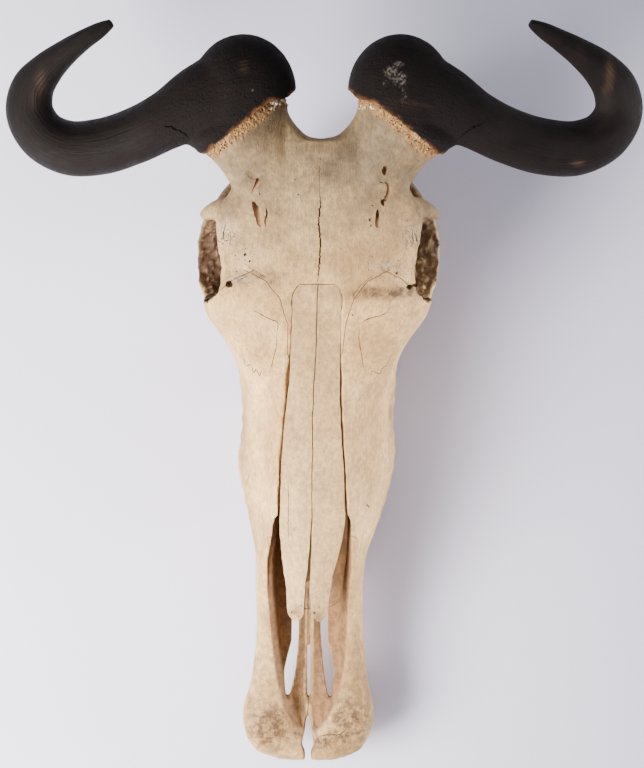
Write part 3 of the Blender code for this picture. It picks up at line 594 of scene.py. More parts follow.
# One nasal bone, from its free tip to its root at the forehead.
# Each row: y, x of the inner edge, x of the outer edge, top z at the midline, fall to the outer edge
NASAL = (
    (-174.0, 4.4, 12.6, 88.4, 5.2),
    (-168.0, 3.2, 14.6, 91.4, 6.0),
    (-158.0, 2.4, 15.4, 95.0, 6.0),
    (-142.0, 1.5, 17.2, 99.8, 6.6),
    (-127.0, 1.0, 20.2, 104.3, 7.2),
    (-114.0, 0.7, 22.2, 108.3, 6.8),
    (-98.0, 0.4, 23.6, 113.0, 5.8),
    (-84.0, 0.3, 23.4, 117.0, 4.6),
    (-55.0, 0.35, 22.2, 124.8, 3.3),
    (-5.0, 0.35, 18.3, 138.0, 2.0),
    (20.0, 0.35, 17.6, 144.4, 1.3),
    (50.0, 0.35, 17.1, 152.3, 0.5),
    (65.0, 0.35, 16.2, 156.2, 0.3),
    (70.0, 0.35, 13.0, 157.4, 0.2),
)
NASAL_THICKNESS = 3.6
NASAL_SEAT_TOP = 30.0
NASAL_OPEN_FROM_Y = 14.0
# Holes through the front of the palate, and the slit and notch between its two halves: x, y outlines
PALATE_HOLE = (
    (8.2, -150.0), (8.2, -186.0), (9.6, -204.0), (11.0, -217.0), (13.6, -230.0), (15.8, -238.5),
    (17.4, -233.0), (18.8, -214.0), (16.6, -203.0), (13.5, -192.0), (13.0, -150.0),
)
MIDLINE_SLIT = ((1.4, -150.0), (1.4, -232.0), (0.35, -238.0), (0.35, -244.0), (4.6, -268.5), (4.2, -272.0),
                (2.3, -275.5), (2.1, -290.0))


def cavity_half(row):
    _, fx, fz, mx, mz = row
    return ((0, mz), (mx, mz), ((fx + mx) / 2 + 1, (fz + mz) / 2), (fx, fz + 3), (fx * 0.6, fz), (0, fz))


MIDLINE_WANDER = ((34.0, 0.55), (9.0, 0.45), (3.5, 0.16))
EDGE_WANDER = ((22.0, 0.5), (7.0, 0.35), (2.6, 0.2))
NASAL_TIP_ROUND = 7.0
SEAT_WANDER = ((16.0, 0.45), (5.0, 0.4), (2.2, 0.25))


def wander(y, sizes, seed):
    """How far an edge strays at y: a sum of noises, each with its own length and width in millimetres."""
    return sum(width * noise.noise((y / length, seed, 0.5)) for length, width in sizes)


def nasal_plate(name, side, gap=0.0, seat=False, rings_along=260, count=18):
    """One nasal bone, or with seat the larger cutter of the slot that it lies in."""
    rings = []
    for index, row in enumerate(smooth_rows(NASAL, np.linspace(NASAL[0][0], NASAL[-1][0], rings_along))):
        y, inner, outer, top, fall = row
        free = min(1.0, max(0.0, (NASAL_OPEN_FROM_Y + 6.0 - y) / 12.0))
        open_gap = gap + (NASAL_GAP_OPEN - gap) * free
        inner_edge = inner + side * wander(y, MIDLINE_WANDER, 3.0)
        xs = np.linspace(inner_edge, outer + free * wander(y, EDGE_WANDER, side), count)
        if not seat:
            tip = min(1.0, (y - NASAL[0][0]) / NASAL_TIP_ROUND)
            middle = (xs[0] + xs[-1]) / 2
            xs = middle + (xs - middle) * max(0.3, math.sqrt(1 - (1 - tip) ** 2))
        if seat:
            reach = outer + open_gap + free * (0.3 + wander(y, SEAT_WANDER, 7.0 * side))
            xs = np.array([-1.5, *xs[1:], max(reach, xs[-1] + gap)])
            y += gap if index == rings_along - 1 else 0
        drops = fall * (np.minimum(np.abs(xs), outer) / outer) ** 2
        depth = NASAL_THICKNESS + (gap if seat else 0)
        upper = [(side * x, y, top - d + (NASAL_SEAT_TOP if seat else 0)) for x, d in zip(xs, drops)]
        lower = [(side * x, y, top - d - depth) for x, d in zip(xs, drops)]
        rings.append(upper + lower[::-1])
    return loft(name, rings)


SOCKET_TEETH = ((3.8, 2.3), (2.0, 1.8))


def ragged(cutter):
    """Makes a cutter's wall uneven, so that the thin edge that it leaves is eaten away as on old bone."""
    points = points_of(cutter)
    uneven = np.zeros(len(points))
    for size, height in SOCKET_TEETH:
        uneven += height * np.array([noise.noise(p) for p in (points / size).tolist()])
    set_points(cutter, points + normals_of(cutter) * uneven[:, None])
    return cutter


hollows = [
    sections_to_loft("nose_cavity", NOSE_CAVITY, cavity_half, step=4.0, count=60),
    swept("rear_nostril", REAR_NOSTRIL, count=36, step=4.0),
    prism("midline_slit", list(MIDLINE_SLIT) + [(-x, y) for x, y in MIDLINE_SLIT[::-1]], 20, 60),
    ellipsoid("spinal_hole", SPINAL_HOLE_CENTRE, SPINAL_HOLE_RADII),
]
for word, side in SIDES:
    hollows.append(ragged(swept(f"socket_{word}", orbit_cup(side), up=(0, 1, 0), count=200, step=0.9)))
    hollows.append(prism(f"palate_hole_{word}", [(side * x, y) for x, y in PALATE_HOLE], 0, 60))
    hollows.append(nasal_plate(f"nasal_seat_{word}", side, gap=SUTURE_GAP, seat=True))
leaned(hollows)
nose_air = whole_tree([cutter for cutter in hollows if cutter.name.startswith(("nose", "midline"))])
socket_air = whole_tree([cutter for cutter in hollows if cutter.name.startswith("socket")])
boolean(skull, hollows, "DIFFERENCE")
remeshed(skull, VOXEL, 2)
print("skin with hollows:", len(skull.data.polygons), "faces")

# %% The floor under the prongs
REACH = 500.0
square = ((-REACH, -REACH), (REACH, -REACH), (REACH, REACH), (-REACH, REACH))
boolean(skull, [prism("under_table", square, -60.0, 0.0)], "DIFFERENCE")


# %% [markdown]
# ## Uneven bone
#
# Living bone is never flat: it swells over tooth roots, roughens where muscles held on, and turns porous
# at the foot of the horns. These forms are a few millimetres across, so they belong in the mesh, where
# the light catches them from every side. Each region gets its own noise, weighed by its distance from a
# named place. Two sizes of noise all over keep the rest from looking cast in plastic.

# %% Noise and weights
def noise_at(points, size, turn=0.0):
    """Smooth noise from about -1 to 1, with lumps about size millimetres across."""
    return np.array([noise.noise(p) for p in (points / np.array(size) + turn).tolist()])


def fade(distance, width):
    """1 at no distance, falling softly to 0 over about twice the width."""
    return np.exp(-((distance / width) ** 2))


def lean_of(point):
    """A point of the tables at its place on the leaning skull."""
    shift = smooth_rows(MIDLINE_LEAN, [point[1]])[0]
    return np.array([point[0] + shift[1] + shift[2] * (point[2] / LEAN_HEIGHT) ** 2, point[1], point[2]])


def from_socket_rim(points, side):
    """How far each point is from the ring of bone round an eye socket."""
    axis = np.array(mirrored(ORBIT_AXIS, side).normalized())
    away = points - lean_of(mirrored(ORBIT_CENTRE, side))
    out = away @ axis
    radial = np.linalg.norm(away - out[:, None] * axis, axis=1)
    return np.hypot(radial - ORBIT_RING_RADIUS, out)


def along_core(points, side):
    """Points in a frame across and up the rim, whose third axis runs out along a horn core."""
    turn = np.array(core_axis(side).to_track_quat("Z", "Y").to_matrix())
    return (points - np.array(mirrored(RIM_CENTRE, side))) @ turn


def rim_rise(across, up, side):
    """How far out along the core the sheath's edge lies at a place across and up the rim."""
    return np.interp(side * across, RIM_ACROSS, RIM_RISE) * np.clip(0.5 + up / RIM_RISE_FADE, 0, 1)


def out_of_rim(points, side):
    """How far each point lies out along the horn core from the sheath's edge."""
    across, up, out = along_core(points, side).T
    return out - rim_rise(across, up, side)


def seen_on(tree, px, py):
    """Where the view ray through a pixel first meets a surface, and the normal there, in millimetres."""
    place, normal, _, _ = tree.ray_cast(Vector((0, 0, EYE_HEIGHT * MM)), ray_of_pixel(px, py))
    if place is None:
        raise ValueError(f"no surface is seen at pixel {px}, {py}")
    return place / MM, normal


SPOT_DEPTH = 22.0


def spots_on(points, spots, tree):
    """How strongly each point is painted by soft oval spots that are placed by pixel."""
    total = np.zeros(len(points))
    for px, py, wide, long, strength in spots:
        centre = np.array(seen_on(tree, px, py)[0])
        away = (points - centre) / (wide, long, SPOT_DEPTH)
        total = np.maximum(total, strength * np.exp(-(away**2).sum(axis=1)))
    return total


# %% Where the bone is porous: at the foot of the horns and in patches over the eyes
POROUS_PX = (
    # pixel x and y, half width and half length in mm, strength
    (225, 232, 7, 8, 0.95), (219, 243, 7, 5, 0.9), (246, 257, 7, 5, 0.5), (236, 278, 9, 4, 0.6),
    (414, 236, 7, 8, 0.95), (386, 266, 12, 4, 0.75), (400, 273, 7, 5, 0.7), (408, 291, 8, 5, 0.4),
)
FOOT_BAND = 10.0
FOOT_EDGE_SIZE, FOOT_EDGE_STRAY, FOOT_EDGE_FADE = 4.0, 4.0, 2.5
FOOT_FROM_X = 8.0
FINE_FROM_POROUS, FINE_FROM_FOOT = 0.25, 0.02


def foot_share(points):
    """1 in the spongy band of bone just below each horn sheath, falling to 0 along a ragged edge."""
    share = np.zeros(len(points))
    stray = FOOT_EDGE_STRAY * noise_at(points, FOOT_EDGE_SIZE, 21.0)
    for word, side in SIDES:
        inside = np.clip((out_of_rim(points, side) + FOOT_BAND + stray) / FOOT_EDGE_FADE, 0, 1)
        share = np.maximum(share, inside * (points[:, 0] * side > FOOT_FROM_X))
    return share


def refined(obj, wanted, cuts=1):
    """Splits every edge between two wanted vertices, so that the mesh there can hold finer relief."""
    bm = bmesh.new()
    bm.from_mesh(obj.data)
    edges = [e for e in bm.edges if wanted[e.verts[0].index] and wanted[e.verts[1].index]]
    bmesh.ops.subdivide_edges(bm, edges=edges, cuts=cuts, use_grid_fill=True)
    bmesh.ops.triangulate(bm, faces=[f for f in bm.faces if len(f.verts) > 4])
    bm.to_mesh(obj.data)
    bm.free()


skull_surface = surface_of(skull)
skin_points = points_of(skull)
porous_here = spots_on(skin_points, POROUS_PX, skull_surface) > FINE_FROM_POROUS
refined(skull, porous_here | (foot_share(skin_points) > FINE_FROM_FOOT), cuts=2)
print("skin with finer patches:", len(skull.data.polygons), "faces")

# %% Push the skin in and out
SWELL_SIZE, SWELL_HEIGHT = 17.0, 0.40
DIMPLE_SIZE, DIMPLE_HEIGHT = 4.5, 0.10
SOCKET_RIM_SIZE, SOCKET_RIM_HEIGHT, SOCKET_RIM_WIDTH = 3.4, 0.75, 8.0
COLUMN_SIZE, COLUMN_HEIGHT = (1.5, 1.5, 5.0), 0.95
CRUST_SIZE, CRUST_HEIGHT = 1.1, 0.45
PATCH_SIZE, PATCH_HEIGHT = (1.3, 3.2, 2.0), 0.55
MUZZLE_SIZE, MUZZLE_HEIGHT = (3.0, 9.0, 4.0), 0.35
MUZZLE_FROM_Y, MUZZLE_FADE = -236.0, 20.0
NECK_SIZE, NECK_HEIGHT = 6.5, 0.9
NECK_FROM_Y, NECK_FADE_Y, NECK_BELOW_Z, NECK_FADE_Z = 148.0, 10.0, 160.0, 20.0
ROOT_RIDGE_STEP, ROOT_RIDGE_HEIGHT, ROOT_RIDGE_LEVEL, ROOT_RIDGE_REACH = 12.6, 0.45, 36.0, 15.0
ROOT_ROW_MIDDLE_Y, ROOT_ROW_HALF_LENGTH, ROOT_ROW_FROM_X = -50.0, 62.0, 36.0

places = points_of(skull)
outward = normals_of(skull)
height = SWELL_HEIGHT * noise_at(places, SWELL_SIZE) + DIMPLE_HEIGHT * noise_at(places, DIMPLE_SIZE, 7.0)
foot = foot_share(places)
for word, side in SIDES:
    near_rim = fade(from_socket_rim(places, side), SOCKET_RIM_WIDTH)
    height += SOCKET_RIM_HEIGHT * near_rim * noise_at(places, SOCKET_RIM_SIZE, 3.0)
    own_foot = foot * (places[:, 0] * side > 0)
    height += COLUMN_HEIGHT * own_foot * (noise_at(along_core(places, side), COLUMN_SIZE, 5.0) - 0.3)
height += CRUST_HEIGHT * foot * noise_at(places, CRUST_SIZE, 9.0)
patches = spots_on(places, POROUS_PX, skull_surface)
height += PATCH_HEIGHT * patches * (noise_at(places, PATCH_SIZE, 15.0) - 0.2)
muzzle = np.clip((MUZZLE_FROM_Y - places[:, 1]) / MUZZLE_FADE, 0, 1)
height += MUZZLE_HEIGHT * muzzle * noise_at(places, MUZZLE_SIZE, 11.0)
neck = np.clip((places[:, 1] - NECK_FROM_Y) / NECK_FADE_Y, 0, 1)
neck *= np.clip((NECK_BELOW_Z - places[:, 2]) / NECK_FADE_Z, 0, 1)
height += NECK_HEIGHT * neck * noise_at(places, NECK_SIZE, 13.0)
over_roots = fade(places[:, 2] - ROOT_RIDGE_LEVEL, ROOT_RIDGE_REACH)
over_roots *= np.abs(places[:, 1] - ROOT_ROW_MIDDLE_Y) < ROOT_ROW_HALF_LENGTH
over_roots *= np.abs(places[:, 0]) > ROOT_ROW_FROM_X
ridges = np.cos(2 * math.pi * places[:, 1] / ROOT_RIDGE_STEP)
height += ROOT_RIDGE_HEIGHT * over_roots * ridges * np.abs(outward[:, 0]) ** 2
set_points(skull, places + outward * height[:, None])
print("relief in mm from", round(height.min(), 2), "to", round(height.max(), 2))

# %% [markdown]
# ## Cracks, sutures and blood-vessel holes
#
# The dark lines are real gaps. Each one is cut with a thin knife: a closed strip with a diamond section
# that is widest on the surface and comes to an edge below it, and to a point at both ends. Its path is
# read off the photograph in pixels, and a view ray puts every point on the bone, so the line stays on the
# surface from any side. Drawing the lines in the material would be quicker, but they would have no depth.
# The knives carry a dark material, which the Boolean hands to the walls of the cut.

# %% A knife along a path of pixels
# The finish of crack and seam walls is dark dirt with painted shade that deepens where a wall is hidden.
CREVICE = bpy.data.materials.new("dirt_in_cracks")
CHALK = bpy.data.materials.new("chalky_flakes")
BONE = bpy.data.materials.new("dry_bone")
NASAL_BONE = bpy.data.materials.new("smooth_nasal_bone")
SHADED_BONE = bpy.data.materials.new("bone_inside_holes")
HORN = bpy.data.materials.new("black_horn")
chance = random.Random(4)
# How much bone one pixel of the photograph covers, roughly
MM_PER_PX = 0.72


def cut_with(name, rings, finish=CREVICE):
    knife = loft(name, rings)
    knife.data.materials.append(finish)
    return knife


def track_of(tree, pixels, step, fewest):
    """Points on a surface along a path of pixels: for each its place, the normal and the way across."""
    path = np.array(pixels, float)
    keys = lengths_along(path)
    count = max(fewest, int(keys[-1] * MM_PER_PX / step))
    fine = smooth_rows(path, np.linspace(0, keys[-1], count), keys)
    spots = [seen_on(tree, px, py) for px, py in fine]
    track = []
    for i, (place, normal) in enumerate(spots):
        along = (spots[min(i + 1, count - 1)][0] - spots[max(i - 1, 0)][0]).normalized()
        track.append((place, normal, along.cross(normal).normalized()))
    return track


def crack_knife(name, tree, pixels, width, depth, stray=0.35, step=0.8, finish=CREVICE):
    """A knife for a crack through these pixels, up to width and depth in mm, that strays a little."""
    track = track_of(tree, pixels, step, 6)
    count = len(track)
    seed = chance.uniform(0, 90)
    rings = []
    for i, (place, normal, side) in enumerate(track):
        ends = min(1.0, 4.0 * min(i, count - 1 - i) / count + 0.08)
        half = 0.5 * width * ends * (0.75 + 0.5 * noise.noise((i * 0.35, seed, 0)))
        bend = noise.noise((i * 0.55, 0, seed)) + 0.5 * noise.noise((i * 1.3, 5, seed))
        place = place + side * stray * 2.0 * bend
        deep = depth * (0.35 + 0.65 * ends)
        rings.append((place + normal * 0.5, place + side * half, place - normal * deep, place - side * half))
    return cut_with(name, rings, finish)


GROOVE_SIDES = 16


def groove_cutter(name, tree, pixels, widths, depths, rough=0.3, step=0.6):
    """A cutter for an open channel through these pixels, with its widths and depths along it in mm."""
    track = track_of(tree, pixels, step, 8)
    seed = chance.uniform(0, 90)
    rings = []
    for i, (place, normal, side) in enumerate(track):
        share = i / (len(track) - 1)
        ends = math.sqrt(max(0.02, 1 - abs(2 * share - 1) ** 5))
        half = 0.5 * ends * np.interp(share, np.linspace(0, 1, len(widths)), widths)
        deep = ends * np.interp(share, np.linspace(0, 1, len(depths)), depths)
        ring = []
        for k in range(GROOVE_SIDES):
            c, s = math.cos(2 * math.pi * k / GROOVE_SIDES), math.sin(2 * math.pi * k / GROOVE_SIDES)
            reach = half * (1 + rough * noise.noise((c * 1.1 + seed, s * 0.6, i * step / 1.1)))
            ring.append(place + side * c * reach + normal * s * (deep if s < 0 else 1.2))
        rings.append(ring)
    return cut_with(name, rings, SHADED_BONE)


SHALLOW = 1.05


def pit_cutter(name, tree, px, py, wide, long, deep, turn=0.0, rough=0.22):
    """A cutter for a hole or a hollow: an uneven egg that stands on the surface. turn is in degrees."""
    place, normal = seen_on(tree, px, py)
    cutter = ellipsoid(name, (0, 0, 0), (wide / 2, long / 2, deep), segments=20)
    points = points_of(cutter)
    points *= 1 + rough * noise_at(points, 1.7, chance.uniform(0, 90))[:, None]
    set_points(cutter, points)
    stand = normal.to_track_quat("Z", "Y").to_matrix().to_4x4()
    spin = Matrix.Rotation(math.radians(turn), 4, "Z")
    cutter.data.transform(Matrix.Translation(place * MM) @ stand @ spin)
    cutter.data.materials.append(SHADED_BONE if deep > SHALLOW else BONE)
    return cutter


# %% Cracks and sutures of the forehead and face
CRACKS_PX = (
    # name, where left and right are the picture's own sides, pixels along it, width and depth in mm, wander
    ("frontal_midline",
     ((319.8, 188), (320.4, 203), (318.7, 222), (320.3, 240), (319.4, 262), (318.0, 284)), 1.55, 4.5, 0.4),
    ("frontal_midline_tail", ((319.6, 150), (320.3, 162), (319.4, 176), (319.9, 192)), 0.4, 0.8, 0.3),
    ("frontal_midline_foot", ((319.4, 262), (318.6, 272), (317.2, 284)), 0.8, 2.0, 0.3),
    ("lacrimal_upper_left",
     ((251, 310.5), (256, 311.5), (262, 315), (271, 319.5), (277, 322), (276.8, 334)), 0.75, 1.3, 0.2),
    ("lacrimal_inner_left",
     ((276.9, 332), (276.4, 346), (274, 356), (271.5, 366), (268.5, 374)), 0.75, 1.3, 0.2),
    ("lacrimal_lower_left",
     ((268.5, 374), (264.5, 376), (262, 371), (259.5, 375.5), (256, 369.5), (254, 372.5), (250, 364.5),
      (246.5, 366), (244, 358), (238.5, 350)), 0.8, 1.3, 0.2),
    ("lacrimal_upper_right",
     ((390.5, 304), (384, 314.5), (374, 317), (365, 320.5), (359.5, 324.5)), 0.75, 1.3, 0.2),
    ("lacrimal_inner_right",
     ((359.5, 324), (359, 340), (361.5, 354), (364, 368), (366.5, 375)), 0.75, 1.3, 0.2),
    ("lacrimal_lower_right",
     ((366.5, 375), (370.5, 376), (372, 371.5), (380, 373.5), (382.5, 368), (387, 365), (390, 357.5),
      (396, 347)), 0.8, 1.3, 0.2),
    ("suture_spur_left", ((242, 262), (250, 268), (260, 274), (268, 279)), 0.4, 0.8, 0.4),
    ("suture_spur_right", ((374, 274), (366, 281), (357.5, 289), (351, 301)), 0.55, 1.0, 0.2),
    ("brow_crack_left", ((225.5, 224), (224, 231), (222.8, 238), (219.5, 241.5)), 0.9, 1.6, 0.2),
    ("brow_crack_left_2", ((222, 236), (226, 241), (230, 239)), 0.7, 1.2, 0.3),
    ("brow_crack_right", ((413, 230), (415.5, 236), (417, 243), (419, 248)), 0.9, 1.6, 0.3),
    ("brow_crack_right_2", ((410, 240), (412.5, 245), (409, 247)), 0.6, 1.0, 0.3),
    ("muzzle_line_right", ((314.5, 736), (328, 735), (342, 733), (347, 727), (350, 719)), 0.8, 1.1, 0.3),
    ("cheek_check_left", ((251.5, 470), (247.5, 480), (246, 490)), 0.7, 1.2, 0.4),
    ("cheek_line_left", ((262, 556), (256.5, 548), (253, 536)), 0.5, 0.9, 0.3),
    ("lacrimal_seam_spur", ((388, 307), (391.5, 300), (395, 296)), 0.35, 0.7, 0.3),
    ("brow_crack_right_3", ((413.3, 229), (412.4, 235), (413.2, 241), (416.5, 246.5)), 0.9, 1.6, 0.3),
    ("brow_crack_right_4", ((416.5, 246.5), (419, 243), (421, 238)), 0.7, 1.2, 0.3),
    ("muzzle_line_left", ((283, 700), (287, 712), (296, 722)), 0.45, 0.7, 0.4),
    ("brow_crack_left_3", ((229, 233), (231, 239), (229.5, 243), (233, 246)), 0.6, 1.0, 0.3),
    ("brow_crack_left_4", ((216.5, 236), (219, 241), (224, 243.5)), 0.7, 1.2, 0.3),
    ("brow_crack_right_5", ((405, 236), (407, 242), (406, 248), (410, 251)), 0.6, 1.0, 0.3),
)
RAY_CENTRE_PX, RAY_SPAN_PX = (343.0, 722.0), (6.0, 17.0)
RAY_COUNT_AT_MUZZLE = 11


def muzzle_rays():
    """Fine growth lines that fan out over the muzzle's end, as rows like those of the cracks."""
    rows = []
    for i in range(RAY_COUNT_AT_MUZZLE):
        a = math.radians(-50.0 + 165.0 * i / (RAY_COUNT_AT_MUZZLE - 1))
        ends = [(RAY_CENTRE_PX[0] + r * math.cos(a), RAY_CENTRE_PX[1] + r * math.sin(a)) for r in RAY_SPAN_PX]
        rows.append((f"muzzle_ray_{i}", ends, 0.32, 0.4, 0.15))
    return rows


skull.data.materials.clear()
skull.data.materials.append(BONE)
skull_surface = surface_of(skull)
knives = [crack_knife(name, skull_surface, *numbers) for name, *numbers in (*CRACKS_PX, *muzzle_rays())]
print("knives:", len(knives))

# %% Holes of the forehead and round the eyes
GROOVES_PX = (
    # name by the picture's own sides, pixels along it, widths in mm, depths in mm
    ("brow_hole_left", ((257.9, 177.5), (257.2, 183.0), (254.4, 188.0), (251.6, 193.0)),
     (2.6, 3.4, 2.0, 0.9), (2.6, 4.4, 1.8, 0.6)),
    ("brow_channel_left", ((252.6, 201.4), (254.6, 205.5), (257.0, 212.0), (259.4, 219.0), (260.6, 227.0)),
     (3.4, 4.4, 5.2, 5.6, 4.2), (4.5, 5.0, 3.2, 2.2, 1.0)),
    ("brow_slit_left", ((266.4, 208.0), (266.8, 214.0), (265.8, 220.0), (266.4, 227.0)),
     (1.2, 1.3, 2.2, 2.4), (2.6, 2.8, 1.5, 0.5)),
    ("brow_hole_top_right", ((385.6, 166.0), (384.8, 170.5), (384.4, 175.5)),
     (3.4, 4.0, 2.6), (2.2, 4.5, 2.4)),
    ("brow_groove_right", ((384.6, 181.5), (388.2, 186.0), (388.4, 193.0), (385.6, 199.0), (382.4, 201.0)),
     (1.6, 2.6, 3.0, 3.2, 3.0), (1.6, 2.0, 2.2, 2.8, 4.0)),
    ("brow_hole_low_right", ((381.8, 199.6), (382.8, 202.6), (384.4, 206.4)),
     (3.0, 3.4, 1.2), (4.2, 4.2, 1.0)),
    ("brow_slot_right", ((377.6, 209.2), (377.8, 214.0), (377.6, 220.0), (377.8, 228.0)),
     (2.4, 2.9, 3.8, 4.0), (4.5, 4.6, 2.4, 0.9)),
    ("tear_notch_right", ((409.0, 288.0), (412.6, 286.2), (417.8, 284.2)), (2.6, 3.0, 2.2), (3.0, 3.2, 2.4)),
)
PITS_PX = (
    # name by the picture's own sides, pixel x and y, width, length and depth in mm, turn in degrees
    ("brow_hollow_left", 252.5, 173.5, 9.0, 9.0, 0.8, 0),
    ("brow_pin_left", 245.0, 254.6, 2.1, 2.4, 2.0, 0),
    ("brow_pin_low_left", 249.7, 261.3, 1.4, 1.8, 1.8, 0),
    ("forehead_pin_left", 298.3, 194.5, 1.3, 1.6, 1.6, 0),
    ("forehead_pin_left_2", 259.7, 193.8, 1.4, 1.0, 1.4, 0),
    ("forehead_pin_left_3", 295.0, 179.5, 0.8, 1.6, 1.2, 0),
    ("tear_hole_left", 229.2, 284.2, 5.2, 5.6, 5.0, 0),
    ("brow_pin_right", 370.0, 219.8, 1.7, 2.6, 2.2, -20),
    ("brow_pin_tail_right", 370.9, 225.6, 0.9, 2.0, 1.2, 0),
    ("brow_pin_upper_right", 372.6, 205.4, 2.2, 0.9, 1.0, 0),
    ("brow_scratch_right", 381.6, 182.4, 4.2, 1.0, 0.9, 0),
    ("tear_hole_right", 409.8, 287.2, 4.9, 4.7, 4.6, 0),
    ("tear_pin_right", 396.7, 273.3, 1.8, 2.0, 1.6, 0),
    ("face_pin_right", 352.6, 314.8, 0.9, 1.6, 1.4, 0),
    ("muzzle_dent_left", 302.0, 722.0, 3.0, 9.0, 0.5, 12),
    ("muzzle_dent_right", 316.0, 724.0, 3.4, 7.0, 0.5, -10),
    ("cheek_dent_right", 368.0, 506.0, 1.6, 6.5, 1.2, -16),
    ("cheek_dent_left", 249.5, 512.0, 1.2, 4.0, 1.0, 8),
)
skull_surface = surface_of(skull)
grooves = [groove_cutter(name, skull_surface, *numbers) for name, *numbers in GROOVES_PX]
pits = [pit_cutter(name, skull_surface, *numbers) for name, *numbers in PITS_PX]
boolean(skull, grooves + pits, "DIFFERENCE")
print("grooves and pits:", len(grooves) + len(pits))

# %% [markdown]
# ## Pores by the hundred
#
# Spongy bone shows as hundreds of small dark holes. Geometry Nodes scatter them: points are spread over
# the skin where its porous weight is high, never closer than a set distance, and each gets a small rough
# ball. The balls are realized into one mesh, which then cuts the skin like the listed pits. A bump
# in the material could darken the same places, but it would leave the surface whole.


# %% Small helpers to build node trees, for shapes and for materials
def node_group(name, kind, inputs, outputs):
    """A node tree with named inputs and outputs. Gives the tree and its two ends."""
    tree = bpy.data.node_groups.new(name, kind)
    for label, sort, value in inputs:
        socket = tree.interface.new_socket(label, in_out="INPUT", socket_type=f"NodeSocket{sort}")
        if value is not None:
            socket.default_value = value
    for label, sort in outputs:
        tree.interface.new_socket(label, in_out="OUTPUT", socket_type=f"NodeSocket{sort}")
    return tree, tree.nodes.new("NodeGroupInput").outputs, tree.nodes.new("NodeGroupOutput").inputs


def feed(tree, socket, value):
    """Links another node's output to an input, or sets the input to a plain value."""
    if isinstance(value, bpy.types.NodeSocket):
        tree.links.new(value, socket)
    else:
        socket.default_value = value


def node(tree, kind, props=None, **sockets):
    """Adds a node, sets its properties, and gives each named input a value or a link."""
    made = tree.nodes.new(kind)
    for key, value in (props or {}).items():
        setattr(made, key, value)
    for key, value in sockets.items():
        feed(tree, next(s for s in made.inputs if s.name == key.replace("_", " ") and s.enabled), value)
    return made


def run_nodes(obj, tree, **values):
    """Runs a Geometry Nodes tree on an object, its inputs set by their identifiers, and keeps the mesh."""
    step = obj.modifiers.new(tree.name, "NODES")
    step.node_group = tree
    for item in tree.interface.items_tree:
        label = item.name.replace(" ", "_")
        if item.in_out == "INPUT" and label in values:
            step[item.identifier] = values[label]
    return baked(obj)


# %% A scatter of pore cutters, as a Geometry Nodes tree
def scatter_tree(name, finish):
    """Small balls spread over a surface by a weight, each turned and sized at random."""
    tree, given, result = node_group(
        name,
        "GeometryNodeTree",
        (
            ("Geometry", "Geometry", None), ("Spacing", "Float", 0.0013), ("Density", "Float", 500000.0),
            ("Smallest", "Float", 0.0003), ("Largest", "Float", 0.0006),
            ("Stretch", "Vector", (1.0, 1.0, 1.0)), ("Seed", "Int", 3),
        ),
        (("Geometry", "Geometry"),),
    )
    weight = node(tree, "GeometryNodeInputNamedAttribute", {"data_type": "FLOAT"}, Name="porous")
    spread_out = node(tree, "GeometryNodeDistributePointsOnFaces", {"distribute_method": "POISSON"},
                      Mesh=given["Geometry"], Distance_Min=given["Spacing"], Density_Max=given["Density"],
                      Density_Factor=weight.outputs["Attribute"], Seed=given["Seed"])
    ball = node(tree, "GeometryNodeMeshIcoSphere", Radius=1.0, Subdivisions=1)
    size = node(tree, "FunctionNodeRandomValue", {"data_type": "FLOAT"}, Seed=given["Seed"])
    tree.links.new(given["Smallest"], size.inputs[2])
    tree.links.new(given["Largest"], size.inputs[3])
    scale = node(tree, "ShaderNodeVectorMath", {"operation": "SCALE"},
                 Vector=given["Stretch"], Scale=size.outputs[1])
    put = node(tree, "GeometryNodeInstanceOnPoints", Points=spread_out.outputs["Points"],
               Instance=ball.outputs[0], Scale=scale.outputs[0], Rotation=spread_out.outputs["Rotation"])
    real = node(tree, "GeometryNodeRealizeInstances", Geometry=put.outputs[0])
    coated = node(tree, "GeometryNodeSetMaterial", Geometry=real.outputs[0], Material=finish)
    tree.links.new(coated.outputs[0], result["Geometry"])
    return tree


def keep(obj, name, values):
    """Stores one number for each vertex under a name that node trees can read."""
    old = obj.data.attributes.get(name)
    if old:
        obj.data.attributes.remove(old)
    layer = obj.data.attributes.new(name, "FLOAT", "POINT")
    layer.data.foreach_set("value", np.clip(values, 0, 1).astype(np.float32))


def copied(obj):
    """A second object with its own copy of the mesh."""
    return new_object(obj.name + "_copy", obj.data.copy())


def drilled(weight, spacing, smallest, largest, seed):
    """Cuts pores into the skin where the weight is high. Sizes in millimetres."""
    keep(skull, "porous", weight)
    pores = run_nodes(
        copied(skull), scatter_tree("pores", SHADED_BONE), Spacing=spacing * MM, Density=420000.0,
        Smallest=smallest * MM, Largest=largest * MM, Stretch=(0.8, 1.15, 2.2), Seed=seed,
    )
    print("pores:", len(pores.data.polygons) // 20)
    boolean(skull, [pores], "DIFFERENCE")


def top_side():
    return np.clip(normals_of(skull)[:, 2] * 2 + 0.6, 0, 1)


drilled(foot_share(points_of(skull)) * top_side(), 2.3, 0.5, 0.95, seed=11)
places = points_of(skull)
fine_pores = np.maximum(spots_on(places, POROUS_PX, skull_surface), foot_share(places))
drilled(fine_pores * top_side(), 1.5, 0.28, 0.6, seed=7)
boolean(skull, knives, "DIFFERENCE")

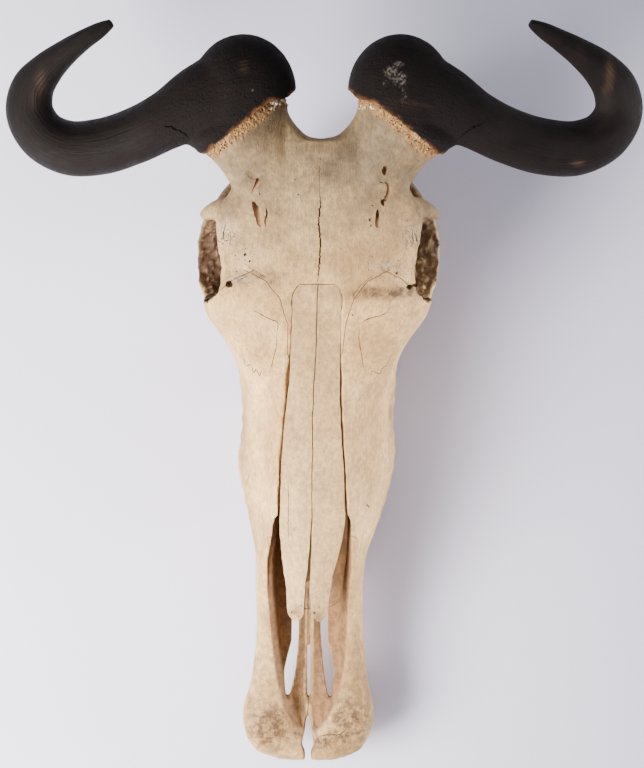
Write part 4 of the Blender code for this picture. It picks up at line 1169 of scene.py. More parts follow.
FLAKES_PX = (
    # pixel x and y, half width and half length in mm, strength
    (275, 104, 3.0, 2.2, 1.0), (283, 101, 2.4, 2.0, 0.8), (238, 124, 1.5, 1.0, 1.0),
    (363, 107, 2.0, 1.6, 0.9), (372, 108, 3.6, 1.5, 0.9),
)
flakes = copied(skull)
flakes.name = "bone_flakes"
keep(flakes, "porous", spots_on(points_of(flakes), FLAKES_PX, skull_surface))
run_nodes(flakes, scatter_tree("flakes", CHALK), Spacing=0.0013, Density=900000.0, Smallest=0.0007,
          Largest=0.0018, Stretch=(1.2, 0.8, 0.35), Seed=5)
print("flakes:", len(flakes.data.polygons) // 20)


# %% [markdown]
# ## Seams between the bones
#
# Thin walls of 0.4 mm cut along the seams part the skin into cranium, upper jaws, muzzle bones and cheek
# bones, as they would part if a museum boiled the skull. The walls run right through, so each bone is a
# closed solid. Each bone could be modelled by itself, but then its edges would have to be fitted to its
# neighbours.

# %% Part the skin into bones
# Cuts along the seams between bones, as x, y or y, z paths
PALATE_SEAM = ((0.0, -290.0), (0.0, 14.0))
PREMAXILLA_SEAM = ((-178.0, 10.0), (-168.0, 42.0), (-142.0, 66.0), (-112.0, 96.0), (-100.0, 130.0))
FRONTAL_SEAM = (
    (-1.0, 13.0), (15.0, 13.5), (19.5, 22.0), (20.5, 42.0), (26.0, 60.0), (36.0, 73.0), (48.0, 79.0),
    (51.5, 80.8),
)
BROW_SEAM = ((45.0, 80.3), (60.0, 74.0), (72.0, 64.0), (84.0, 60.0), (110.0, 56.0))
CHEEK_BONE = (
    (10.0, 30.0), (8.0, 62.0), (11.0, 82.0), (19.0, 98.0), (38.0, 108.0), (60.0, 113.0), (78.0, 113.0),
    (96.0, 119.0), (110.0, 122.0), (136.0, 118.0), (142.0, 106.0), (135.0, 84.0), (130.0, 60.0),
    (100.0, 30.0),
)
CHEEK_BONE_INNER_X = 47.0
FRONTAL_SEAM_OUTER_LOW = 112.0


def finely(path, step):
    """The same path with more points, none further apart than step."""
    out = [path[0]]
    for a, b in zip(path, path[1:]):
        parts = max(1, math.ceil(math.dist(a, b) / step))
        out += [tuple(np.array(a) + (np.array(b) - a) * k / parts) for k in range(1, parts + 1)]
    return out


SEAM_GAP = 0.4
SEAM_ZIGZAG = 0.3
SEAM_WANDER = ((7.0, 0.5), (2.6, 0.4))


def thickened(obj, thickness=SEAM_GAP):
    """Turns a surface into a thin wall of even thickness, half on each side of it, with dirt and painted
    shade on its faces.
    """
    obj.data.materials.append(CREVICE)
    solid = obj.modifiers.new("thickness", "SOLIDIFY")
    solid.thickness = thickness * MM
    solid.offset = 0
    solid.use_even_offset = True
    return baked(obj)


def sheet(name, path, across, low, high):
    """A thin, wavering cutter along a path. across is the axis it is stretched along, from low to high.

    It zigzags on its way down, so that no one can look straight through the gap that it leaves.
    """
    fine = finely(path, step=1.0)
    path = [(u + wander(v, SEAM_WANDER, 1.0), v + wander(u, SEAM_WANDER, 2.0)) for u, v in fine]
    bm = bmesh.new()
    rows = []
    for k, level in enumerate(np.linspace(low, high, max(2, int((high - low) / 6)))):
        shift = SEAM_ZIGZAG if k % 2 else -SEAM_ZIGZAG
        if across == "Z":
            rows.append([bm.verts.new(Vector((u + shift, v + shift, level)) * MM) for u, v in path])
        else:
            rows.append([bm.verts.new(Vector((level, u + shift, v)) * MM) for u, v in path])
    for a, b in zip(rows, rows[1:]):
        for i in range(len(a) - 1):
            bm.faces.new((a[i], a[i + 1], b[i + 1], b[i]))
    mesh = bpy.data.meshes.new(name)
    bm.to_mesh(mesh)
    bm.free()
    return thickened(new_object(name, mesh))


seams = [
    sheet("premaxilla_seam", PREMAXILLA_SEAM, "X", -90, 90),
    sheet("palate_seam", PALATE_SEAM, "Z", -20, 200),
]
for word, side in SIDES:
    seams.append(sheet(f"frontal_seam_{word}", [(side * x, y) for x, y in FRONTAL_SEAM], "Z", -20, 200))
    low = FRONTAL_SEAM_OUTER_LOW
    seams.append(sheet(f"brow_seam_{word}", [(side * x, y) for x, y in BROW_SEAM], "Z", low, 200))
    outline = [[(side * x, y, z) for y, z in CHEEK_BONE] for x in (CHEEK_BONE_INNER_X, 120.0)]
    seams.append(thickened(loft(f"cheek_seam_{word}", outline)))
boolean(skull, leaned(seams), "DIFFERENCE")


def bone_name(obj):
    """The bone that a parted piece is, from where its middle lies."""
    x, y, _ = points_of(obj).mean(axis=0)
    word = "left" if x > 0 else "right"
    if abs(x) < 6 and y > 40:
        return "cranium"
    if abs(x) > 60 and y > 60:
        return f"zygomatic_{word}"
    return f"premaxilla_{word}" if y < -150 else f"maxilla_{word}"


TRIANGLE_LIMIT = 190000


def thinned(obj):
    """Merges faces where the surface is flattest, until the piece is within the limit of triangles."""
    triangles = sum(len(face.vertices) - 2 for face in obj.data.polygons)
    if triangles > TRIANGLE_LIMIT:
        step = obj.modifiers.new("thinner", "DECIMATE")
        step.ratio = TRIANGLE_LIMIT / triangles
        baked(obj)
    return obj


bpy.ops.object.select_all(action="DESELECT")
skull.select_set(True)
bpy.context.view_layer.objects.active = skull
bpy.ops.mesh.separate(type="LOOSE")
bones = {}
for piece in sorted(bpy.context.selected_objects, key=lambda obj: -len(obj.data.vertices)):
    name = bone_name(piece)
    if name in bones:
        bpy.data.objects.remove(piece)
        continue
    bones[name] = thinned(piece)
    piece.name = f"{name}_bone"
    print(piece.name, len(piece.data.polygons))


# %% [markdown]
# ## The nasal bones
#
# Two long thin plates roof the nose. They are separate bones that lie in a slot, with a dark gap along
# each outer edge, so each is its own fine loft. A dark line painted on one skin would be quicker, but it
# would have no edge and no depth where the plates stand free over the nose.

# %% Two nasal plates
NASAL_CRACK_PX = ((287.8, 478.0), (288.6, 500.0), (288.1, 525.0), (288.8, 546.0))
NASAL_PITS_PX = {
    # pixel x and y, width, length and depth in mm, turn in degrees
    "left": (
        (314.5, 613.0, 1.6, 3.0, 1.2, 15), (319.5, 607.0, 1.0, 1.4, 1.0, 0),
        (325.0, 616.0, 0.9, 1.6, 0.9, 30),
    ),
    "right": (
        (292.0, 612.5, 1.5, 2.4, 1.2, -20), (298.5, 616.0, 1.8, 1.2, 1.1, 0),
        (301.5, 606.0, 0.9, 1.3, 0.9, 0),
    ),
}

for word, side in SIDES:
    plate = leaned([nasal_plate(f"nasal_{word}_bone", side)])[0]
    plate.data.materials.append(NASAL_BONE)
    surface = surface_of(plate)
    marks = [pit_cutter("tip_pit", surface, *numbers) for numbers in NASAL_PITS_PX[word]]
    if word == "right":
        marks.append(crack_knife("nasal_crack", surface, NASAL_CRACK_PX, 0.6, 1.3, 0.3))
    boolean(plate, marks, "DIFFERENCE")
    bones[f"nasal_{word}"] = plate

# %% [markdown]
# ## The horn sheaths
#
# A wildebeest's horn is a black sheath of keratin over a short bony core: a swollen boss at the base,
# then a shaft that dips outwards and hooks up and in. The shaft is swept along its bend, the boss and a
# lobe beside it are melted on, and the rim is cut where it meets the forehead.

# %% Shaft, boss and rim
HORN_VOXEL = 1.1
COLLAR_THICKNESS = 2.6
RIM_BITE_SIZES = ((9.0, 1.1), (3.2, 0.8), (1.4, 0.35))
BOSS_CENTRE = (54.5, 203.5, 181.0)
BOSS_RADII = (36.8, 40.2, 28.5)
BOSS_LOBE_CENTRE = (85.0, 176.5, 170.0)
BOSS_LOBE_RADII = (12.5, 12.5, 15.5)
# Horn shaft from inside the boss to the tip. Each row: x, y, z, half width in plan, half height
HORN_SHAFT = (
    (60.0, 203.0, 181.0, 34.0, 27.0),
    (83.0, 196.6, 178.0, 26.4, 24.5),
    (106.5, 185.2, 170.0, 20.8, 21.0),
    (132.0, 174.2, 160.0, 19.8, 19.5),
    (157.5, 167.6, 152.5, 20.0, 19.0),
    (182.0, 167.4, 148.5, 19.4, 18.0),
    (201.2, 177.0, 148.5, 18.0, 17.0),
    (209.8, 192.8, 151.5, 17.0, 16.0),
    (206.6, 208.5, 157.0, 15.9, 15.0),
    (196.5, 220.3, 164.0, 13.5, 13.2),
    (181.2, 231.0, 172.0, 10.3, 10.6),
    (165.0, 239.8, 180.0, 7.6, 7.8),
    (151.0, 246.8, 186.0, 5.3, 5.3),
    (143.8, 250.4, 189.0, 3.0, 3.0),
)
# The animal's right horn has a tighter, thinner bend and a tip set wider.
# Each row: change of that horn row's x, change of its half width
RIGHT_HORN_CHANGE = (
    (0.5, 0.0), (1.0, 0.0), (1.2, 0.0), (1.0, 0.0), (0.0, 0.0), (-2.0, 0.0), (-2.6, 0.0), (-3.0, 0.0),
    (-2.6, -0.5), (-2.4, -1.1), (-0.8, -0.9), (0.8, -0.4), (1.2, 0.0), (1.6, 0.2),
)


def horn_rows(word):
    rows = np.array(HORN_SHAFT)
    if word == "right":
        rows[:, [0, 3]] += RIGHT_HORN_CHANGE
    return rows


def rim_cutter(side, half=62.0, steps=150):
    """What lies below the sheath's rim: a block whose top is eaten away unevenly, up into the sheath."""
    bm = bmesh.new()
    bmesh.ops.create_grid(bm, x_segments=steps, y_segments=steps, size=half)
    for v in bm.verts:
        bite = 0.0
        for size, deep in RIM_BITE_SIZES:
            bite += deep * (noise.noise((v.co.x / size, v.co.y / size, side * 9.0)) + 0.35)
        v.co.z = rim_rise(v.co.x, v.co.y, side) + max(0.0, bite)
    base = bmesh.ops.extrude_face_region(bm, geom=bm.faces[:])
    for v in base["geom"]:
        if isinstance(v, bmesh.types.BMVert):
            v.co.z = -60.0
    bmesh.ops.recalc_face_normals(bm, faces=bm.faces)
    mesh = bpy.data.meshes.new("below_rim")
    bm.to_mesh(mesh)
    bm.free()
    block = new_object("below_rim", mesh)
    turn = core_axis(side).to_track_quat("Z", "Y").to_matrix().to_4x4()
    block.data.transform(Matrix.Scale(MM, 4))
    block.data.transform(Matrix.Translation(mirrored(RIM_CENTRE, side) * MM) @ turn)
    return block


BOSS_SKIN_REACH = 48.0
BOSS_LUMP_SIZE, BOSS_LUMP_HEIGHT = 7.0, 0.35
BOSS_GRAIN_SIZE, BOSS_GRAIN_HEIGHT = 2.4, 0.22
CREASE_PX = {
    "left": ((456, 141), (463, 135), (470, 130), (478, 125), (487, 122)),
    "right": ((190, 139), (184, 134), (178, 130), (170, 127), (162, 125)),
}
horns = {}
for word, side in SIDES:
    sheath = swept(f"horn_{word}_sheath", horn_rows(word), side=side, count=64)
    boss = ellipsoid("boss", mirrored(BOSS_CENTRE, side), BOSS_RADII)
    lobe = ellipsoid("lobe", mirrored(BOSS_LOBE_CENTRE, side), BOSS_LOBE_RADII)
    collar = swept("collar", core_rows(COLLAR_THICKNESS), side=side, count=72)
    boolean(sheath, [boss, lobe, collar], "UNION")
    remeshed(sheath, HORN_VOXEL, 16)
    points, outward = points_of(sheath), normals_of(sheath)
    from_boss = np.linalg.norm(points - np.array(mirrored(BOSS_CENTRE, side)), axis=1)
    on_boss = fade(from_boss, BOSS_SKIN_REACH)
    bumps = BOSS_LUMP_HEIGHT * noise_at(points, BOSS_LUMP_SIZE, 2.0)
    bumps += BOSS_GRAIN_HEIGHT * noise_at(points, BOSS_GRAIN_SIZE, 4.0)
    set_points(sheath, points + outward * ((bumps - 0.15) * on_boss)[:, None])
    crease = crack_knife("crease", surface_of(sheath), CREASE_PX[word], 1.8, 1.5, 0.5, finish=HORN)
    below_rim = rim_cutter(side)
    core = swept("core_hollow", core_rows(SHEATH_FIT), side=side, count=60)
    boolean(sheath, [below_rim, core, crease], "DIFFERENCE")
    horns[f"horn_{word}"] = sheath
    print(sheath.name, len(sheath.data.polygons))


# %% [markdown]
# ## The cheek teeth
#
# Five worn grinders stand in each upper jaw. From above the bone hides them all, so each is one rounded
# pillar or two, lofted from three rings, with its root sunk well into the jaw. Their ridges could be
# sculpted, but no one would see them while the skull lies on its teeth.

# %% Pillars for the teeth
# Upper cheek teeth, front to back. Each row: y of the middle, length, width, lobes
TEETH = ((-103.0, 12.0, 13.0, 1), (-89.5, 13.0, 15.0, 1), (-71.0, 21.5, 18.0, 2), (-46.0, 26.0, 19.5, 2),
         (-18.5, 27.0, 19.0, 2))
TOOTH_ROW = ((-112.0, 38.0), (-90.0, 42.0), (-60.0, 45.0), (-30.0, 46.5), (0.0, 45.0))
TOOTH_ROOT_Z, TOOTH_NECK_Z = 34.0, 13.0
TOOTH_POINTS = 48
BITE_FLAT_FROM_Y = -58.0
BITE_RISE = 0.13


def tooth_row_x(y):
    ys, xs = zip(*TOOTH_ROW)
    return float(np.interp(y, ys, xs))


def bite_level(y):
    """Height of the worn tooth surface: on the floor at the back, and clear of it towards the front."""
    return 0.0 if y > BITE_FLAT_FROM_Y else (BITE_FLAT_FROM_Y - y) * BITE_RISE + 0.5


def cheek_teeth(side):
    """Rounded pillars, one or two to a tooth, whose roots sink well into the jaw."""
    made = []
    for y, length, width, lobes in TEETH:
        for lobe in range(lobes):
            long = length / lobes
            middle = y + (lobe - (lobes - 1) / 2) * long
            rings = []
            for z, share in ((TOOTH_ROOT_Z, 0.90), (TOOTH_NECK_Z, 1.0), (bite_level(middle), 0.93)):
                ring = []
                for k in range(TOOTH_POINTS):
                    a = 2 * math.pi * (k + 0.5) / TOOTH_POINTS
                    c, s = math.cos(a), math.sin(a)
                    x = math.copysign(abs(c) ** 0.7, c) * width / 2 * share
                    v = math.copysign(abs(s) ** 0.7, s) * long * (0.57 if lobes > 1 else 0.5) * share
                    ring.append((side * (tooth_row_x(middle) + x), middle + v, z))
                rings.append(ring)
            made.append(loft(f"tooth_{side}_{middle:.0f}", rings))
    return made


teeth = {}
for word, side in SIDES:
    row = cheek_teeth(side)
    teeth[word] = row[0]
    row[0].name = f"cheek_teeth_{word}"
    boolean(row[0], row[1:], "UNION")
    leaned([row[0]])


# %% [markdown]
# ## Where dirt, painted shade, stain and wear lie
#
# A finish looks real when it knows the shape it lies on. Old bone is darker where air and rain didn't
# reach, and hollows get painted shade too, so every vertex sends a few rays out and keeps the share that
# other bone stops. Brown bands, porous patches and the yellow foot of the horns are painted as named
# spots. All of it is stored as vertex attributes, which any renderer and any export can read, and the
# materials only have to look them up.

# %% How hidden each vertex is
RAY_COUNT = 9
RAY_REACH = 70.0
SPREAD_ROUNDS = 3


def ray_fan(count):
    """Directions spread over a hemisphere round +Z, denser near its top."""
    rings = (np.arange(count) + 0.5) / count
    turns = np.arange(count) * math.pi * (3 - math.sqrt(5))
    flat = np.sqrt(rings)
    return np.stack([flat * np.cos(turns), flat * np.sin(turns), np.sqrt(1 - rings)], axis=1)


def spread(obj, values, rounds):
    """Averages values with those of the neighbouring vertices, some times over."""
    pairs = np.empty(len(obj.data.edges) * 2, np.int32)
    obj.data.edges.foreach_get("vertices", pairs)
    a, b = pairs.reshape(-1, 2).T
    size = len(values)
    share = np.bincount(a, minlength=size) + np.bincount(b, minlength=size) + 1
    for _ in range(rounds):
        near = np.bincount(a, values[b], size) + np.bincount(b, values[a], size)
        values = (values + near) / share
    return values


def hidden_share(obj, tree):
    """The share of the view out from each vertex that is stopped by bone or horn, from 0 to 1."""
    points, normals = points_of(obj), normals_of(obj)
    fan = ray_fan(RAY_COUNT)
    side = np.cross(normals, np.where(np.abs(normals[:, 2:]) < 0.9, [[0.0, 0.0, 1.0]], [[1.0, 0.0, 0.0]]))
    side /= np.linalg.norm(side, axis=1)[:, None] + 1e-9
    other = np.cross(normals, side)
    starts = ((points + normals * 0.4) * MM).tolist()
    blocked = np.zeros(len(points))
    for x, y, z in fan:
        ways = (side * x + other * y + normals * z).tolist()
        hits = [tree.ray_cast(s, w, RAY_REACH * MM)[3] for s, w in zip(starts, ways)]
        blocked += [0.0 if hit is None else 1.0 - 0.6 * hit / (RAY_REACH * MM) for hit in hits]
    return spread(obj, blocked / len(fan), SPREAD_ROUNDS)


def inside_share(points, normals, tree, reach=2.0, search=6.0):
    """1 where the air just in front of a vertex lies inside one of the tree's hollows, and 0 outside."""
    share = np.zeros(len(points))
    for i, front in enumerate(((points + normals * reach) * MM).tolist()):
        place, out, _, _ = tree.find_nearest(front, search * MM)
        if place is not None:
            share[i] = (place - Vector(front)).dot(out) / MM
    return np.clip(share / (0.7 * reach), 0, 1)


# The hidden share drives the dirt and the painted shade of the finishes.
everything = whole_tree([*bones.values(), *horns.values()])
for obj in [*bones.values(), *horns.values(), *teeth.values()]:
    keep(obj, "hidden", hidden_share(obj, everything))
print("vertices with a hidden share:", sum(len(obj.data.vertices) for obj in bones.values()))

# %% Painted spots: stains, and the porous bone at the brow and at the foot of the horns
STAIN_PX = (
    # pixel x and y, half width and half length in mm, strength
    (388, 294, 30, 4.2, 1.0), (376, 291, 16, 3.2, 0.9), (404, 291, 13, 5, 0.9), (352, 296, 14, 3, 0.6),
    (262, 275, 15, 3.4, 0.9), (243, 278, 10, 5, 0.85), (271, 282, 6, 5, 0.9), (222, 290, 6, 8, 0.4),
    (398, 322, 13, 7, 0.3), (410, 312, 8, 14, 0.35), (262, 352, 12, 10, 0.25), (262, 131, 19, 5, 0.5),
    (262, 143, 10, 5, 0.4), (258, 176, 10, 6, 0.4), (352, 150, 22, 8, 0.25), (320, 150, 26, 9, 0.3),
    (296, 726, 9, 14, 1.0), (290, 736, 12, 8, 0.7), (345, 731, 24, 6, 0.8), (322, 742, 16, 9, 0.9),
    (262, 680, 18, 45, 0.5), (356, 684, 18, 45, 0.42), (350, 728, 8, 8, 0.8), (334, 740, 18, 8, 0.6),
    (362, 738, 9, 9, 0.6), (268, 742, 22, 8, 0.6), (250, 712, 4, 24, 0.6), (368, 708, 3.5, 24, 0.55),
    (316, 726, 6, 12, 0.8), (296, 613, 7, 6, 0.55), (318, 617, 6, 6, 0.55), (243, 440, 3, 30, 0.45),
    (391, 430, 3, 40, 0.4), (342, 700, 8, 20, 0.35), (272, 700, 8, 20, 0.3), (318, 320, 3, 60, 0.2),
    (240, 240, 10, 8, 0.2), (268, 240, 14, 16, 0.18), (370, 240, 16, 18, 0.15),
    (268, 728, 26, 30, 0.9), (348, 724, 26, 32, 0.85), (206, 256, 6, 30, 0.6), (310, 700, 12, 40, 0.6),
    (230, 212, 12, 8, 0.4),
)
REAR_FROM_Y, REAR_LENGTH = 55.0, 85.0
# How much of the brown the left and the right socket take. The one that faces the window has more of it, as
# painted shade, and the other has less, as painted light.
SOCKET_LIGHT_AND_SHADE_SHARES = (0.72, 1.0)


for name, obj in bones.items():
    points = points_of(obj)
    underside = normals_of(obj)[:, 2] < 0 if name.startswith("nasal") else 1.0
    keep(obj, "stain", spots_on(points, STAIN_PX, everything))
    keep(obj, "porous", spots_on(points, POROUS_PX, everything))
    keep(obj, "horn_foot", foot_share(points))
    keep(obj, "nose_wall", inside_share(points, normals_of(obj), nose_air) * underside)
    # The side-to-side difference in socket brown is painted shade on the window side and painted light on the
    # other.
    shares = np.where(points[:, 0] > 0, *SOCKET_LIGHT_AND_SHADE_SHARES)
    keep(obj, "socket_wall", shares * inside_share(points, normals_of(obj), socket_air))
    # A share that grows towards the back of the skull, where the bone turns greyer and darker.
    keep(obj, "rearward", (points[:, 1] - REAR_FROM_Y) / REAR_LENGTH)

# %% Coordinates that run along each horn, and the worn places on it
SCUFF_PX = (
    # pixel x and y, half width and half length in mm, strength
    (391, 72, 6, 6, 1.0), (400, 79, 7, 7, 0.9), (404, 93, 4, 12, 0.6), (399, 64, 5, 3, 0.9),
    (386, 83, 4, 4, 0.6), (430, 92, 3, 9, 0.3), (252, 90, 2, 2, 0.7), (226, 96, 3, 3, 0.5),
    (100, 132, 8, 2, 0.35),
)
WORN_PX = (
    (244, 66, 5, 6, 0.6), (578, 163, 6, 3, 0.8), (610, 75, 4, 14, 0.9), (606, 90, 5, 6, 0.5),
    (41, 82, 6, 14, 0.5), (33, 100, 4, 12, 0.35), (566, 126, 22, 3, 0.3), (400, 104, 30, 6, 0.35),
)
HORN_RIM_BROWN = 9.0
HORN_GIRTH = 22.0
SHAFT_FROM, SHAFT_FADE = 45.0, 30.0
for word, side in SIDES:
    sheath = horns[f"horn_{word}"]
    rows = horn_rows(word)
    rows[:, 0] *= side
    keys = lengths_along(rows[:, :3])
    line = smooth_rows(rows, np.linspace(0, keys[-1], 160), keys)
    line_keys = lengths_along(line[:, :3])
    points = points_of(sheath)
    nearest = np.array([np.argmin(((line[:, :3] - p) ** 2).sum(axis=1)) for p in points])
    away = points - line[nearest, :3]
    forward = np.gradient(line[:, :3], axis=0)[nearest]
    forward /= np.linalg.norm(forward, axis=1)[:, None]
    across = np.cross(forward, (0.0, 0.0, 1.0))
    turn = np.arctan2(away[:, 2], (away * across).sum(axis=1))
    along = line_keys[nearest] + (away * forward).sum(axis=1)
    strand = np.stack([HORN_GIRTH * np.cos(turn), HORN_GIRTH * np.sin(turn), along], axis=1) * MM
    layer = sheath.data.attributes.new("strand", "FLOAT_VECTOR", "POINT")
    layer.data.foreach_set("vector", strand.astype(np.float32).ravel())
    keep(sheath, "scuff", spots_on(points, SCUFF_PX, everything))
    keep(sheath, "worn", spots_on(points, WORN_PX, everything))
    keep(sheath, "rim", 1.0 - out_of_rim(points, side) / HORN_RIM_BROWN)
    keep(sheath, "shaft", (along - SHAFT_FROM) / SHAFT_FADE)

# %% [markdown]
# ## Finishes
#
# Dry bone, the smoother nasal bone, black horn and worn teeth cover the object. Cracks, the walls of
# holes and chalky flakes have plainer finishes of their own. The finishes share three effects, so each
# effect is a node group, made once and placed with its own values: fine grain, pinholes, and dirt with
# painted shade where a surface is hidden. Patterns are sized in metres on the Object coordinates.


# %% Small helpers for sums, mixes and ranges
def maths(tree, operation, a, b):
    made = tree.nodes.new("ShaderNodeMath")
    made.operation = operation
    for socket, value in zip(made.inputs, (a, b)):
        feed(tree, socket, value)
    return made.outputs[0]


def added(tree, a, b):
    return maths(tree, "ADD", a, b)


def product(tree, a, b):
    return maths(tree, "MULTIPLY", a, b)


def blended(tree, share, a, b, mode="MIX"):
    """Mixes two colours by a share."""
    made = tree.nodes.new("ShaderNodeMix")
    made.data_type = "RGBA"
    made.blend_type = mode
    for index, value in ((0, share), (6, a), (7, b)):
        feed(tree, made.inputs[index], value)
    return made.outputs[2]


def stretched(tree, value, low, high, to_low=0.0, to_high=1.0):
    """Spreads a value between low and high over a new range, softly, and holds it there outside."""
    made = node(tree, "ShaderNodeMapRange", {"interpolation_type": "SMOOTHSTEP"}, Value=value)
    for key, number in (("From Min", low), ("From Max", high), ("To Min", to_low), ("To Max", to_high)):
        feed(tree, made.inputs[key], number)
    return made.outputs[0]


def between(tree, share, low, high):
    """Turns a share from 0 to 1 into a value between low and high, softly."""
    return stretched(tree, share, 0.0, 1.0, low, high)


def painted(tree, name):
    return node(tree, "ShaderNodeAttribute", {"attribute_name": name}).outputs["Fac"]


def placed(tree, group, **values):
    made = node(tree, "ShaderNodeGroup", {"node_tree": group}, **values)
    return made.outputs[0]


# %% The shared effects
ORIGIN = (0.0, 0.0, 0.0)
grain_group, given, result = node_group(
    "fine_grain",
    "ShaderNodeTree",
    (("Place", "Vector", ORIGIN), ("Density", "Vector", (1.0, 1.0, 1.0)), ("Roughness", "Float", 0.6)),
    (("Mask", "Float"),),
)
mapping = node(grain_group, "ShaderNodeMapping", Vector=given["Place"], Scale=given["Density"])
grain = node(grain_group, "ShaderNodeTexNoise", Vector=mapping.outputs[0], Scale=1.0, Detail=4.0,
             Roughness=given["Roughness"])
grain_group.links.new(stretched(grain_group, grain.outputs[0], 0.3, 0.7), result["Mask"])

pinhole_group, given, result = node_group(
    "pinholes",
    "ShaderNodeTree",
    (("Place", "Vector", ORIGIN), ("Density", "Float", 300.0), ("Size", "Float", 0.25),
     ("Share", "Float", 0.5)),
    (("Mask", "Float"),),
)
cells = node(pinhole_group, "ShaderNodeTexVoronoi", Vector=given["Place"], Scale=given["Density"])
half_size = product(pinhole_group, given["Size"], 0.5)
hole = stretched(pinhole_group, cells.outputs["Distance"], given["Size"], half_size)
pick = node(pinhole_group, "ShaderNodeSeparateColor", Color=cells.outputs["Color"])
chosen = maths(pinhole_group, "LESS_THAN", pick.outputs[0], given["Share"])
pinhole_group.links.new(product(pinhole_group, hole, chosen), result["Mask"])

# Dirt with painted shade: a colour darkens where the hidden share is high.
dirt_and_shade_group, given, result = node_group(
    "dirt_in_hollows",
    "ShaderNodeTree",
    (("Colour", "Color", (1, 1, 1, 1)), ("Dirt", "Color", (0.1, 0.05, 0.02, 1)), ("Start", "Float", 0.3),
     ("Full", "Float", 0.9)),
    (("Colour", "Color"),),
)
uneven = node(dirt_and_shade_group, "ShaderNodeTexNoise", Scale=140.0, Detail=5.0, Roughness=0.65,
              Vector=node(dirt_and_shade_group, "ShaderNodeTexCoord").outputs["Object"])
stray = product(dirt_and_shade_group, maths(dirt_and_shade_group, "SUBTRACT", uneven.outputs[0], 0.5), 0.35)
depth = added(dirt_and_shade_group, painted(dirt_and_shade_group, "hidden"), stray)
share = stretched(dirt_and_shade_group, depth, given["Start"], given["Full"])
dirt_and_shade_group.links.new(blended(dirt_and_shade_group, share, given["Colour"], given["Dirt"]), result["Colour"])
print("shared effects:", [g.name for g in (grain_group, pinhole_group, dirt_and_shade_group)])


# %% Bone, in two tempers
def rgba(colour):
    return (*colour, 1.0)


def material_nodes(material, roughness):
    material.use_nodes = True
    tree = material.node_tree
    shader = tree.nodes["Principled BSDF"]
    shader.inputs["Roughness"].default_value = roughness
    return tree, shader, node(tree, "ShaderNodeTexCoord").outputs["Object"]


def tinted(tree, colour, shade):
    """A colour made lighter or darker by a shade round 1."""
    grey = node(tree, "ShaderNodeCombineColor", Red=shade, Green=shade, Blue=shade).outputs[0]
    return blended(tree, 1.0, colour, grey, "MULTIPLY")


SPECK, STAIN, REAR_GREY = (0.28, 0.16, 0.075), (0.098, 0.044, 0.0125), (0.26, 0.28, 0.315)
WORN_PATCH, PORE = (0.42, 0.33, 0.25), (0.16, 0.075, 0.028)
DARK_RUST, PALE_RUST = (0.19, 0.078, 0.018), (0.37, 0.20, 0.065)
# The deep nose lining is lighter than the shallow one: painted light on the shaded deep walls of the nose.
NOSE_LINING, DEEP_NOSE_LINING_PAINTED_LIGHT = (0.225, 0.108, 0.038), (0.32, 0.165, 0.068)
HOLLOW_DIRT_AND_SHADE = (0.17, 0.075, 0.027)
SOCKET_BROWN, DARK_SOCKET_BROWN = (0.075, 0.029, 0.0075), (0.042, 0.016, 0.005)


